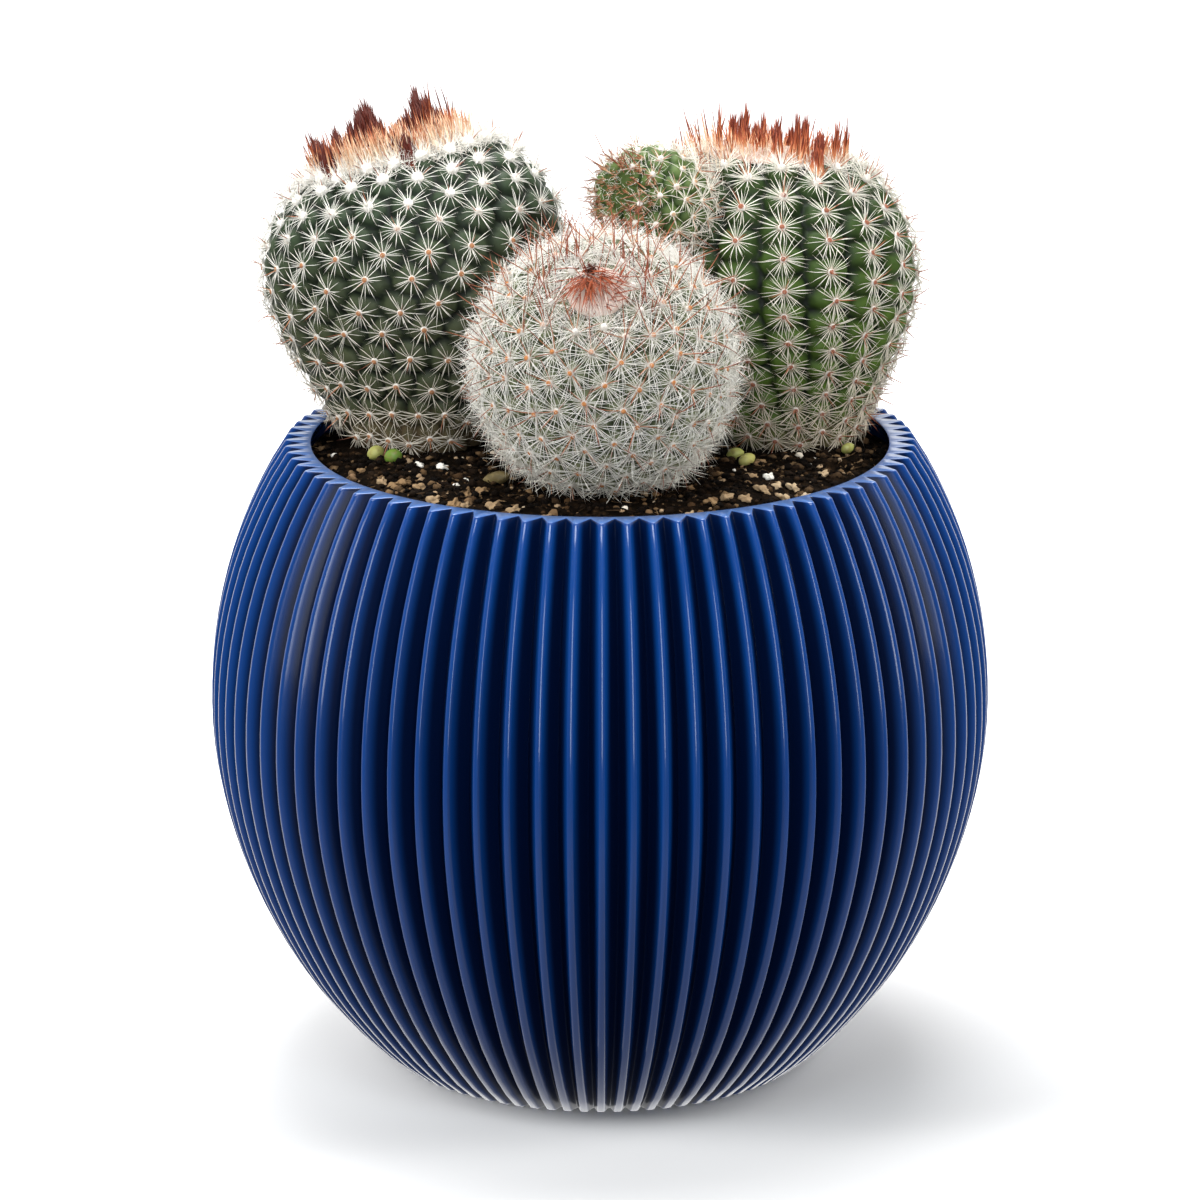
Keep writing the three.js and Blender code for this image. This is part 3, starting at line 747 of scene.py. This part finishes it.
right_coat = Coat(22, right_areoles)
right_coat.stars(19, 5.7, 0.11, 71, 9, bend=-0.12)
right_coat.stars(12, 5, 0.06, 62, 16)
right_coat.stars(2, 5.4, 0.14, 26, 16, rust=0.9, lean=0.15)
right_coat.stars(2, 7, 0.14, 24, 14, (0, 12), rust=0.75, lean=0.3)
right_coat.stars(16, 5.4, 0.07, 52, 18, (0, 14))
right_coat.puffs(50, 2, 0.07, (0, 12))
right_coat.puffs(10, 1, 0.065, (12, 90))
right_spines = right_coat.grow("stem_right_spines", "stem_fresh_green")
spine_finish("cream_spines", right_spines, (0.45, 0.27, 0.18), (0.82, 0.79, 0.7),
             (0.5, 0.36, 0.26), (0.55, 0.44, 0.3))

front_coat = Coat(23, front_areoles)
front_coat.stars(25, 7.4, 0.08, 72, 10, bend=-0.14)
front_coat.stars(10, 6.8, 0.07, 48, 18)
front_coat.stars(1, 6.4, 0.095, 40, 20, rust=0.55, bend=-0.16)
front_coat.puffs(12, 1.2, 0.07)
front_spines = front_coat.grow("stem_front_spines", "stem_silver")
# The ball's spines further down are a light cream: partly their own colour, partly painted light
# on its lower part.
spine_finish("silver_spines", front_spines, (0.68, 0.6, 0.5), (0.88, 0.86, 0.81),
             (0.76, 0.7, 0.62), (0.88, 0.82, 0.64))

front_guard = Coat(25, front_areoles)
front_guard.stars(4, 12, 0.14, 32, 14, (4, 13), rust=1.0, bend=0.05, lean=0.45)
front_guard.stars(3, 9.4, 0.13, 34, 14, (13, 28), rust=0.9, bend=-0.1, lean=0.3)
front_guard.stars(1, 6.6, 0.11, 38, 16, (26, 80), rust=0.7, bend=-0.16)
front_bars = front_guard.grow("stem_front_guard_spines", "stem_silver", bristle_shape)
spine_finish("rust_guard_spines", front_bars, (0.5, 0.24, 0.12), (0.5, 0.24, 0.12),
             (0.3, 0.1, 0.05), (0.55, 0.36, 0.2))

young_coat = Coat(24, young_areoles)
young_coat.stars(9, 3.2, 0.08, 66, 14, rust=0.1)
young_coat.stars(14, 5.2, 0.09, 56, 20, (12, 40))
young_coat.stars(2, 5.4, 0.12, 34, 18, (12, 40), rust=0.8)
young_coat.stars(7, 3.8, 0.11, 42, 22, (0, 9), rust=0.6, lean=0.3)
young_coat.puffs(16, 1.2, 0.065)
young_spines = young_coat.grow("young_head_spines", "stem_fresh_green")
spine_finish("young_spines", young_spines, (0.66, 0.54, 0.4), (0.86, 0.81, 0.72),
             (0.7, 0.54, 0.42), (0.8, 0.72, 0.6))


# The areoles: small cushions of felt that the spines stand in, white and woolly near the crown
# and worn to tan or orange further down. One cushion is modelled and sown by copies.

deselect()
bpy.ops.mesh.primitive_ico_sphere_add(subdivisions=2, radius=1)
cushion = bpy.context.object
edit_all()
bpy.ops.transform.translate(value=(0, 0, 0.35))
bpy.ops.object.mode_set(mode="OBJECT")
cushion_shape = shape_of(cushion)


def sow_felt(name, slot, areoles, sizes, finish_name, worn, worn_from):
    """Cushions with the width of an old and of a young one and the height of an old one, in mm.
    They wear to a colour from a distance in mm from the crown."""
    points, normals, _, ages = areoles
    width, young_width, height = (size * MM for size in sizes)
    youth = np.clip(1.5 - ages / 16, 0, 1)
    widths = width + (young_width - width) * youth
    heights = height * (1 + youth)
    cushions = sow(name, slot, cushion_shape, points - normals * 0.1 * MM,
                   normals * heights[:, None], widths, age=ages)
    felt = Finish(finish_name, Roughness=0.9, Specular_IOR_Level=0.1)
    fuzz = felt.noise(0.3 * MM, roughness=0.7)
    age = (felt.mark("age") + 8 * (felt.noise(4 * MM) - 0.5)).between(worn_from, worn_from + 8)
    top = felt.mark("along").between(0.75, 1.15)
    colour = felt.mix(age * top, (0.88, 0.86, 0.81), worn)
    felt.paint(
        cushions,
        Base_Color=felt.mix(fuzz * 0.25, colour, (0.4, 0.3, 0.2)),
        Normal=felt.bump(fuzz, 0.3 * MM),
    )


sow_felt("stem_left_felt", "stem_blue_green", left_areoles, (0.85, 1.55, 0.7),
         "tan_felt", (0.4, 0.17, 0.07), 18)
sow_felt("stem_right_felt", "stem_fresh_green", right_areoles, (0.8, 1.05, 0.65),
         "brown_felt", (0.3, 0.09, 0.05), 5)
sow_felt("stem_front_felt", "stem_silver", front_areoles, (0.8, 0.8, 0.75),
         "orange_felt", (0.55, 0.21, 0.06), 3)
sow_felt("young_head_felt", "stem_fresh_green", young_areoles, (0.55, 0.7, 0.5),
         "young_felt", (0.5, 0.3, 0.16), 4)


# The crowns: white wool fills the top of each head, and long bristles stand in it, cream at the
# root and rust to dark red-brown at the tip. In places they close up into dark pointed bunches.

def crown_place(stem, right, back, up=0):
    """A place on a crown, from millimetres to the right, to the back and up of its middle."""
    centre, along, across, behind = stem.top
    right, back, up = (np.asarray(step, float)[..., None] * MM for step in (right, back, up))
    return centre + across * right + behind * back + along * up


def make_pad(name, stem, height, node, finish_name, pale, deep):
    """The woolly pad in a crown: a flat dome with soft lumps, its height in millimetres."""
    deselect()
    bpy.ops.mesh.primitive_uv_sphere_add(segments=56, ring_count=24, radius=1)
    pad = bpy.context.object
    pad.name = name
    x, y, z = points_of(pad).T
    wide = stem.crown / MM * 0.99
    points = crown_place(stem, x * wide, y * wide, z * height * np.where(z > 0, 1, 0.5))
    lumps = np.array([noise.fractal(Vector(point) / (3 * MM), 1, 2, 3) for point in points])
    put_in_place(pad, points + stem.top[1] * (np.maximum(z, 0) * lumps * 0.8 * MM)[:, None])
    finish_shape(pad)
    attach(pad, "root")
    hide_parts(node)
    wool = Finish(finish_name, Roughness=0.95, Specular_IOR_Level=0.1)
    strands = wool.noise(0.5 * MM, detail=4, roughness=0.7, distortion=2)
    wool.paint(
        pad,
        Base_Color=wool.mix(strands * 0.6, pale, deep),
        Normal=wool.bump(strands, 0.5 * MM),
    )


def grow_wool(name, stem, seed, count, inner, outer, length, width, tilt):
    """Curly wool on the skin, between two distances in mm from the crown's middle."""
    fleece = Coat(seed)
    reach = np.sqrt(fleece.chance.uniform(inner ** 2, outer ** 2, count)) * MM
    turn = fleece.chance.uniform(0, 2 * np.pi, count)
    fleece.curl(*stem.skin(reach, turn), length, width, tilt)
    wool = fleece.grow(name, "crown_bristles")
    spine_finish(name + "_finish", wool, (0.76, 0.7, 0.62), (0.86, 0.82, 0.76),
                 (0.82, 0.76, 0.68), (0.8, 0.76, 0.7))


class Tuft(Coat):
    """The bristles of one crown. Their places and sizes are in mm."""

    def __init__(self, stem, seed):
        super().__init__(seed)
        self.stem = stem
        self.up = stem.top[1]

    def place(self, right, back):
        """Places on the crown and its shoulder, to the right and the back of its middle."""
        return self.stem.point(np.hypot(right, back) * MM, np.arctan2(back, right))

    def stand(self, roots, tips, width, rust):
        """Bristles from roots to tips, each bent a little."""
        sways = self.chance.normal(0, 0.45 * MM, roots.shape)
        self.add(roots, tips - roots, self.vary(width * MM, 0.25, len(roots)), sways, rust, 0.0)

    def bunch(self, right, back, wide, tall, count, rust=0.8, closing=0.6, width=0.3):
        """Bristles that close up to a dark pointed flame, higher in its middle."""
        turn = self.chance.uniform(0, 2 * np.pi, count)
        share = self.chance.random(count) ** 0.6
        middle = self.place(np.array([right]), np.array([back]))
        roots = self.place(right + wide * share * np.cos(turn), back + wide * share * np.sin(turn))
        rise = tall * (1 - 0.5 * share ** 1.3) * self.chance.uniform(0.86, 1.03, count)
        tips = middle + (roots - middle) * closing + self.up * rise[:, None] * MM
        tips = tips + self.chance.normal(0, 0.25 * MM, roots.shape)
        self.stand(roots, tips, width, rust * self.chance.uniform(0.8, 1, count))

    def brush(self, count, inner, outer, tall, rust, width=0.13, lean=0.15, spread=0.9,
              turns=(0, 360)):
        """Single bristles over a ring of the crown, or over the part between two turns."""
        turn = np.radians(self.chance.uniform(*turns, count))
        reach = np.sqrt(self.chance.uniform(inner ** 2, outer ** 2, count))
        roots = self.place(reach * np.cos(turn), reach * np.sin(turn))
        out = self.stem.point(reach * MM + 1 * MM, turn) - roots
        out = unit(out - self.up * (out @ self.up)[:, None])
        rise = self.vary(tall, 0.3, count)[:, None] * MM
        tips = roots + (self.up + out * lean) * rise
        tips = tips + self.chance.normal(0, spread * MM, roots.shape)
        self.stand(roots, tips, width, rust * self.chance.uniform(0.6, 1.2, count))

    def grow_bristles(self, name, finish_name, root, low, middle, tip):
        """Bristles from pale roots to darker tips, darker all along where they are bunched."""
        bristle = Finish(finish_name, Specular_IOR_Level=0.25, Roughness=0.5)
        along = bristle.mark("along") + 0.4 * (bristle.mark("tone") - 0.5)
        along = along + 0.9 * (bristle.mark("rust") - 0.5)
        colour = bristle.shades(along, (0.05, root), (0.35, low), (0.62, middle), (0.98, tip))
        bristle.paint(self.grow(name, "crown_bristles", bristle_shape), Base_Color=colour)


CREAM = (0.8, 0.66, 0.5)
TAN = (0.6, 0.34, 0.19)

make_pad("crown_left_pad", left_stem, 3, "crown_tuft_left",
         "white_wool", (0.84, 0.79, 0.72), (0.55, 0.4, 0.28))
grow_wool("crown_left_wool", left_stem, 31, 5400, 12, 24.5, 3.4, 0.065, 45)
left_tuft = Tuft(left_stem, 32)
left_tuft.brush(200, 0, 15, 5.5, 0.05)
left_tuft.brush(400, 15, 22, 6.8, 0.08, lean=0.05, turns=(236, 335))
left_tuft.brush(90, 15, 21, 5, 0.1, lean=0.05, turns=(185, 236))
left_tuft.brush(90, 16, 22, 8.5, 0.45, width=0.16, lean=0.05, turns=(200, 320))
left_tuft.brush(160, 14, 18, 6, 0.3, turns=(0, 190))
left_tuft.brush(26, 9, 15, 12, 0.9, width=0.19, lean=0, turns=(-50, 20))
left_tuft.brush(14, 17, 20, 9, 1.0, width=0.19, turns=(165, 205))
# Each as its place to the right and the back, its width and height, in mm, and its darkness.
for right, back, wide, tall, dark in (
    (-16.5, -8, 2.6, 9.5, 1.4), (-14.6, -14, 2.6, 9, 1.5), (-12.4, -1, 2.4, 10.5, 1.2),
    (-8.8, 0, 2.2, 11, 1.3), (-6.4, 0, 2.8, 14.5, 1.45), (-4.2, 0, 2.8, 16, 1.5),
    (-2, 1, 1.6, 10.5, 0.7), (0.8, 3, 2.4, 7.5, 0.05), (4.6, -1, 1.8, 11, 1.0),
    (7.4, 1, 2.6, 16, 1.45), (9.6, 1, 2.4, 12.5, 1.3), (12, -3, 2.4, 8.5, 1.5),
    (4.6, -21, 2.4, 7.5, 1.5), (1.8, -17, 1.6, 7, 1.0), (-10, 9, 3.2, 9, 1.2),
    (2, 11, 3.4, 8, 0.6), (9.5, 9, 3, 9, 1.2), (10.2, 0, 0.4, 19.5, 0.9),
    (-17.5, -6, 0.9, 9.5, 1.0),
):
    left_tuft.bunch(right, back, wide, tall, int(27 * wide * wide) + 2, dark)
left_tuft.grow_bristles("crown_left_bristles", "rust_bristles",
                        CREAM, TAN, (0.34, 0.09, 0.035), (0.08, 0.014, 0.008))

make_pad("crown_right_pad", right_stem, 2.5, "crown_tuft_right",
         "pink_wool", (0.62, 0.46, 0.38), (0.32, 0.18, 0.11))
grow_wool("crown_right_wool", right_stem, 33, 1900, 12, 21, 2.4, 0.06, 55)
right_tuft = Tuft(right_stem, 34)
right_tuft.brush(260, 0, 16, 5, 0.1)
right_tuft.brush(90, 6, 17, 7.5, 0.55, width=0.16, lean=0.1)
right_tuft.brush(190, 14, 25, 6.5, 0.0, width=0.09, lean=0.35, turns=(130, 235))
right_tuft.brush(30, 14, 25, 9.5, 0.9, width=0.17, lean=0.3, turns=(120, 235))
for right, back, wide, tall in (
    (-13.8, 2, 0.5, 16.5), (-10.4, 3, 1.8, 11.5), (-7.8, 5, 1.7, 13.8), (-3.8, -2, 1.5, 12),
    (-0.6, -9, 1.6, 12.8), (3.4, -12, 1.4, 14.2), (5.4, -14, 1.6, 13.4), (8.8, -17, 2, 10.5),
    (13, -12, 1.3, 13), (15.2, -7, 0.5, 14), (-5, 9, 2, 8), (3, 8, 2, 7.5), (10, 6, 2, 7),
    (-1, 13, 2, 7),
):
    right_tuft.bunch(right, back, wide, tall, int(18 * wide * wide) + 3, 0.7, closing=0.4)
right_tuft.grow_bristles("crown_right_bristles", "flame_bristles",
                         CREAM, (0.66, 0.3, 0.14), (0.4, 0.1, 0.04), (0.13, 0.022, 0.012))

make_pad("crown_front_pad", front_stem, 1.6, "crown_tuft_front",
         "rosy_wool", (0.88, 0.74, 0.66), (0.52, 0.34, 0.25))
grow_wool("crown_front_wool", front_stem, 35, 3200, 2, 13.5, 1.9, 0.06, 65)
front_tuft = Tuft(front_stem, 36)
# The fringe: bristles that hang over the front of the wool from a knot behind its middle.
FRINGE = 105
fringe_chance = front_tuft.chance
fan = fringe_chance.normal(np.radians(270), np.radians(36), FRINGE)
reach = fringe_chance.uniform(8, 17, FRINGE)
knot = fringe_chance.normal((-1.3, 5), (1.3, 1), (FRINGE, 2)).T
fringe_roots = front_tuft.place(*knot)
fringe_tips = front_tuft.place(knot[0] + reach * np.cos(fan), knot[1] + reach * np.sin(fan))
fringe_rise = front_tuft.up * fringe_chance.uniform(2.5, 5, (FRINGE, 1)) * MM
front_tuft.add(fringe_roots, fringe_tips - fringe_roots + fringe_rise * 2.3,
               front_tuft.vary(0.12 * MM, 0.25, FRINGE), -fringe_rise,
               front_tuft.vary(0.5, 0.3, FRINGE), 0.0)
front_tuft.brush(24, 0, 5, 6, 0.5, lean=0.9)
front_tuft.brush(60, 10, 14, 10, 0.8, lean=0.1, turns=(-30, 210))
front_tuft.bunch(-1.3, 5, 2.4, 4, 80, -0.4, width=0.2)
front_tuft.grow_bristles("crown_front_bristles", "orange_bristles", (0.07, 0.02, 0.012),
                         (0.28, 0.06, 0.025), (0.42, 0.11, 0.045), (0.24, 0.06, 0.03))

make_pad("crown_young_pad", young_head, 0.5, "crown_tuft_offset",
         "green_wool", (0.08, 0.12, 0.035), (0.03, 0.055, 0.015))
grow_wool("crown_young_wool", young_head, 38, 420, 0, 11, 1.9, 0.06, 55)
young_tuft = Tuft(young_head, 37)
# Small bunches, laid out in the spirals of a golden angle.
for number in range(26):
    reach, turn = 1.95 * math.sqrt(number), math.radians(137.5 * number)
    young_tuft.bunch(reach * math.cos(turn), reach * math.sin(turn), 0.9, 3.2, 11, 0.5,
                     closing=1.3, width=0.13)
young_tuft.brush(60, 1, 10, 5, 0.9, width=0.16, lean=0.5, spread=1.4)
young_tuft.grow_bristles("crown_young_bristles", "young_bristles",
                         CREAM, TAN, (0.36, 0.13, 0.06), (0.16, 0.04, 0.025))


# Bits in the soil: crumbs of peat and bark, grains of pumice and sand, and a few seed pods, all
# half sunk in the surface. A few rough grains are modelled and sown by copies.

def rough_grain(seed, roughness, steps):
    """A lumpy grain, one unit in radius, with finer facets the more the steps."""
    deselect()
    bpy.ops.mesh.primitive_ico_sphere_add(subdivisions=steps, radius=1)
    grain = bpy.context.object
    points = [
        Vector(point) * (1 + roughness * noise.noise(Vector(point) * 1.3 + Vector((seed, 0, 0))))
        for point in points_of(grain)
    ]
    put_in_place(grain, points)
    return shape_of(grain)


def is_free(x, y, size):
    """True where a grain has room on the soil between the stems."""
    if math.hypot(x, y) > SOIL_EDGE - size:
        return False
    for stem in (left_stem, right_stem, front_stem):
        steps = np.linspace(0, 0.35, 12)
        gaps = np.linalg.norm(stem.centre(steps) - [x, y, SOIL_TOP], axis=1)
        if np.any(gaps < stem.radius_at(steps) - 1 * MM):
            return False
    return True


def lay_grains(name, shape, grains):
    """Grains on the soil, each as its place x, y, its size, its height's share and its tone."""
    chance = np.random.default_rng(len(grains))
    roots, aims = [], []
    for x, y, size, flatness, _ in grains:
        aim = unit(np.array([*chance.normal(0, 0.35, 2), 1]))
        roots.append((x, y, soil_height(x, y) + crumbs(x, y) + 0.25 * size * flatness))
        aims.append(aim * size * flatness)
    _, _, sizes, _, tones = np.array(grains).T
    return sow(name, "soil", shape, np.array(roots), np.array(aims), sizes, tone=tones)


def scatter(seed, count, smallest, largest):
    """Free places on the soil, for grains of sizes in mm that are mostly near the smallest."""
    chance = np.random.default_rng(seed)
    grains = []
    while len(grains) < count:
        reach = SOIL_EDGE * math.sqrt(chance.random())
        turn = chance.uniform(0, 2 * math.pi)
        x, y = reach * math.cos(turn), reach * math.sin(turn)
        size = (smallest + (largest - smallest) * chance.random() ** 2.5) * MM
        if is_free(x, y, size):
            grains.append((x, y, size, chance.uniform(0.5, 1), chance.random()))
    return grains


def grain_finish(name, grains, *stops):
    stone = Finish(name, Specular_IOR_Level=0.1)
    grit = stone.noise(0.5 * MM, detail=4, roughness=0.7)
    colour = stone.shades(stone.mark("tone") + 0.12 * (grit - 0.5), *stops)
    stone.paint(
        grains,
        Base_Color=stone.mix(grit.between(0.52, 0.75) * 0.6, colour, (0.04, 0.025, 0.015)),
        Roughness=0.75 + 0.2 * grit,
        Normal=stone.bump(grit, 0.25 * MM),
    )


peat_crumbs = lay_grains("peat_crumbs", rough_grain(3, 0.8, 1), scatter(41, 4300, 0.25, 1.3))
grain_finish("peat_crumb", peat_crumbs, (0.3, (0.002, 0.0012, 0.0008)),
             (0.7, (0.009, 0.005, 0.0028)), (0.88, (0.045, 0.026, 0.013)),
             (0.98, (0.18, 0.11, 0.055)))
grit_grains = lay_grains("grit_grains", rough_grain(8, 0.8, 2), scatter(42, 170, 0.3, 1.0))
grain_finish("grit", grit_grains, (0.1, (0.08, 0.045, 0.02)), (0.5, (0.26, 0.16, 0.085)),
             (0.8, (0.5, 0.38, 0.25)), (0.97, (0.78, 0.74, 0.66)))
bark_crumbs = lay_grains("bark_crumbs", rough_grain(5, 1.3, 1), scatter(44, 560, 0.35, 1.5))
grain_finish("bark_crumb", bark_crumbs, (0.2, (0.01, 0.005, 0.0025)),
             (0.5, (0.045, 0.024, 0.011)), (0.75, (0.13, 0.075, 0.036)),
             (0.95, (0.36, 0.25, 0.15)))

# Each as its place from the pot's axis and its size, in mm, and its tone.
BARK_AND_PUMICE = [
    (-44.3, -15.6, 1.4, 0.95), (-41.3, -11.5, 1.3, 0.95), (-36, -14.8, 1.7, 0.98),
    (-46.4, -27.3, 2.0, 0.5), (-44.3, -27.3, 1.6, 0.45), (-40.1, -31.4, 1.7, 0.55),
    (-30.3, -36.3, 1.6, 0.5), (-37.1, -41.3, 1.9, 0.62), (-32.9, -44.6, 1.8, 0.5),
    (-30.1, -44.6, 1.4, 0.6), (-23.9, -47.1, 1.9, 0.58), (-19.5, -50.4, 1.8, 0.6),
    (-32.2, -28.9, 0.8, 0.98), (-30.3, -25.6, 0.8, 0.98), (-26.7, -33.9, 1.5, 0.5),
    (-45.9, -8.3, 1.1, 0.5), (38.2, -21.4, 1.4, 0.97), (39.9, -30.5, 1.8, 0.72),
    (43.8, -31.4, 1.6, 0.72), (41.9, -38, 1.7, 0.7), (46.3, -34.7, 1.8, 0.75),
    (50.5, -19, 1.5, 0.7), (48, -12.3, 0.9, 0.98), (34.8, -21.5, 1.6, 0.55),
    (37.3, -8.3, 1.3, 0.5), (36.6, -36.4, 1.7, 0.6), (32.4, -40.5, 1.6, 0.58),
    (28.3, -40.5, 1.7, 0.6), (52.7, -28, 1.3, 0.6), (25, -46, 1.5, 0.5), (-12, -57, 1.4, 0.55),
    (2, -60.5, 1.3, 0.6), (14, -58, 1.4, 0.5), (-49.5, -25, 1.2, 0.6), (-54, -14, 1.2, 0.5),
    (57, -9, 1.1, 0.5), (20, -52, 1.3, 0.66), (-6, -61, 1.1, 0.7),
]
CHUNK_SCALE, CHUNK_FLATNESS = 0.82, 0.6
chunks = [
    (x * MM, y * MM, CHUNK_SCALE * size * MM, CHUNK_FLATNESS, tone)
    for x, y, size, tone in BARK_AND_PUMICE
]
bark = lay_grains("bark_and_pumice", rough_grain(15, 1.3, 3), chunks)
grain_finish("bark_and_pumice", bark, (0.1, (0.08, 0.045, 0.02)), (0.5, (0.24, 0.15, 0.075)),
             (0.72, (0.42, 0.31, 0.19)), (0.95, (0.8, 0.76, 0.68)))

# Each as its place and its size, in mm, its length as a share of that, and its tone.
SEED_PODS = [
    (-51.4, -4.9, 1.7, 1.3, 0.75), (-47.3, -8.2, 1.8, 1.2, 0.4), (-23.4, -27.2, 1.6, 2.2, 0.05),
    (54.7, 7.5, 1.9, 1.3, 0.45), (57, 0, 1.2, 1.4, 0.7), (31, -5.8, 1.5, 1.5, 0.7),
    (33.6, -10.7, 1.5, 1.4, 0.8),
]
deselect()
bpy.ops.mesh.primitive_uv_sphere_add(segments=24, ring_count=16, radius=1)
one_pod = bpy.context.object
edit_all()
bpy.ops.mesh.quads_convert_to_tris()
bpy.ops.object.mode_set(mode="OBJECT")
x, y, z = points_of(one_pod).T
waist = 1 - 0.25 * np.maximum(z, 0) ** 2
put_in_place(one_pod, np.stack([x * waist, y * waist, z], axis=1))
pod_shape = shape_of(one_pod)
x, y, size, long, tone = np.array(SEED_PODS).T
pod_roots = np.stack([x * MM, y * MM, SOIL_TOP + size * 0.4 * MM], axis=1)
turn = np.random.default_rng(51).uniform(-0.7, 0.7, len(SEED_PODS))
pod_aims = unit(np.stack([np.cos(turn), np.sin(turn), 0.35 + 0 * turn], axis=1))
pods = sow("seed_pods", "soil", pod_shape, pod_roots, pod_aims * (size * long * MM)[:, None],
           size * MM, tone=tone)
pod_finish = Finish("seed_pod", Roughness=0.45)
mottle = pod_finish.noise(1.2 * MM, detail=4)
pod_colour = pod_finish.shades(
    pod_finish.mark("tone"),
    (0.05, (0.1, 0.075, 0.03)),
    (0.42, (0.12, 0.22, 0.025)),
    (0.8, (0.36, 0.34, 0.1)),
)
pod_finish.paint(
    pods,
    Base_Color=pod_finish.mix(mottle.between(0.45, 0.7) * 0.6, pod_colour, (0.2, 0.15, 0.06)),
    Normal=pod_finish.bump(mottle, 0.2 * MM, 0.8),
)

fibre_coat = Coat(52)
places = [grain[:2] for grain in scatter(43, 420, 0.3, 0.6)]
roots = np.array([(x, y, soil_height(x, y) + crumbs(x, y) + 0.25 * MM) for x, y in places])
turn = fibre_coat.chance.uniform(0, 2 * np.pi, len(roots))
rise = fibre_coat.chance.normal(0, 0.12, len(roots))
aims = np.stack([np.cos(turn), np.sin(turn), rise], axis=1)
aims = aims * fibre_coat.chance.uniform(1.2, 4.5, len(roots))[:, None] * MM
sways = fibre_coat.chance.normal(0, 0.4 * MM, (len(roots), 3))
widths = fibre_coat.vary(0.14 * MM, 0.5, len(roots))
fibre_coat.add(roots, aims, widths, sways, 0.0, 0.0)
root_fibres = fibre_coat.grow("root_fibres", "soil", bristle_shape)
grain_finish("root_fibre", root_fibres, (0.3, (0.015, 0.009, 0.005)), (0.7, (0.07, 0.042, 0.022)),
             (0.95, (0.3, 0.19, 0.1)))


# The studio: a white floor and background, soft light from above, from the front and from
# both sides, and the camera where the photo was taken from. The floor's brightness is partly
# its own painted glow, which fades to a painted shadow in front of the pot.

deselect()
bpy.ops.mesh.primitive_plane_add(size=6)
floor = bpy.context.object
floor.name = "studio_floor"
floor.visible_diffuse = False
floor.visible_glossy = False
LIT_POINT = (0, 0, 0.12)
# The floor glows: its emission is painted light, and it fades to none round a point right of and
# in front of the pot, which paints the shadow there.
paper = Finish("white_floor_painted_glow", Roughness=0.9, Specular_IOR_Level=0.0, Emission_Strength=1)
painted_shadow_middle = {0: paper.place, 1: (0.05, -0.1, 0)}
to_painted_shadow = paper.add("ShaderNodeVectorMath", {"operation": "DISTANCE"}, painted_shadow_middle, "Value")
painted_glow = paper.mix(to_painted_shadow.between(0.04, 0.3), (0, 0, 0), (1, 1, 1))
paper.paint(floor, Base_Color=(0.52, 0.52, 0.52, 1), Emission_Color=painted_glow)


def add_softbox(name, place, size, power, colour=(1, 1, 1), is_mirrored=True):
    light = bpy.data.lights.new(name, "AREA")
    light.shape = "RECTANGLE"
    light.size, light.size_y = size
    light.energy = power
    light.color = colour
    lamp = bpy.data.objects.new(name, light)
    bpy.context.scene.collection.objects.link(lamp)
    lamp.location = place
    lamp.visible_glossy = is_mirrored
    direction = Vector(LIT_POINT) - Vector(place)
    lamp.rotation_euler = direction.to_track_quat("-Z", "Y").to_euler()


add_softbox("top_softbox", (0, 0.35, 1.3), (0.8, 0.7), 19)
add_softbox("front_softbox", (-0.1, -0.65, 1.0), (0.6, 0.25), 5, (0.9, 0.95, 1))
add_softbox("low_softbox", (0.1, -1.8, 0.5), (0.6, 1.2), 14, (0.93, 0.97, 1))
add_softbox("left_softbox", (-0.96, -0.45, 0.87), (0.3, 0.8), 16, is_mirrored=False)
add_softbox("right_softbox", (1.05, -0.2, 0.85), (0.3, 0.8), 14, is_mirrored=False)

world = bpy.data.worlds.new("white_studio")
bpy.context.scene.world = world
air = Shading(world)
direction = air.add("ShaderNodeTexCoord", {}, {}, "Generated")
to_back, to_top = (
    air.add("ShaderNodeSeparateXYZ", {}, {"Vector": direction}, axis) for axis in ("Y", "Z")
)
# How bright the air looks, from front to back and from the level down. It casts less light.
back_range = {"From Min": -0.1, "From Max": 0.6, "To Min": 0.16, "To Max": 1.3}
ground_range = {"From Min": -0.1, "From Max": -0.5, "To Max": 0.5}
behind = air.add("ShaderNodeMapRange", {}, {"Value": to_back, **back_range})
below = air.add("ShaderNodeMapRange", {}, {"Value": to_top, **ground_range})
is_spread = air.add("ShaderNodeLightPath", {}, {}, "Is Diffuse Ray")
CAST_STRENGTH = 0.27
seen_or_cast = {"Factor": is_spread, "A": behind.math("MAXIMUM", below), "B": CAST_STRENGTH}
strength = air.add("ShaderNodeMix", {}, seen_or_cast, "Result")
air.feed(air.tree.nodes["Background"], {"Color": (1, 1, 1, 1), "Strength": strength})

CAMERA_DISTANCE = 1.5084
CAMERA_ELEVATION = math.radians(16.27)
CAMERA_AIM = 0.10807
LENS_MM = 195.3
SENSOR_MM = 36
lens = bpy.data.cameras.new("studio_camera")
lens.lens = LENS_MM
lens.sensor_width = SENSOR_MM
camera = bpy.data.objects.new("studio_camera", lens)
bpy.context.scene.collection.objects.link(camera)
camera.location = (
    0,
    -CAMERA_DISTANCE * math.cos(CAMERA_ELEVATION),
    CAMERA_AIM + CAMERA_DISTANCE * math.sin(CAMERA_ELEVATION),
)
camera.rotation_euler = (math.pi / 2 - CAMERA_ELEVATION, 0, 0)
bpy.context.scene.camera = camera
bpy.context.scene.view_settings.view_transform = "Standard"
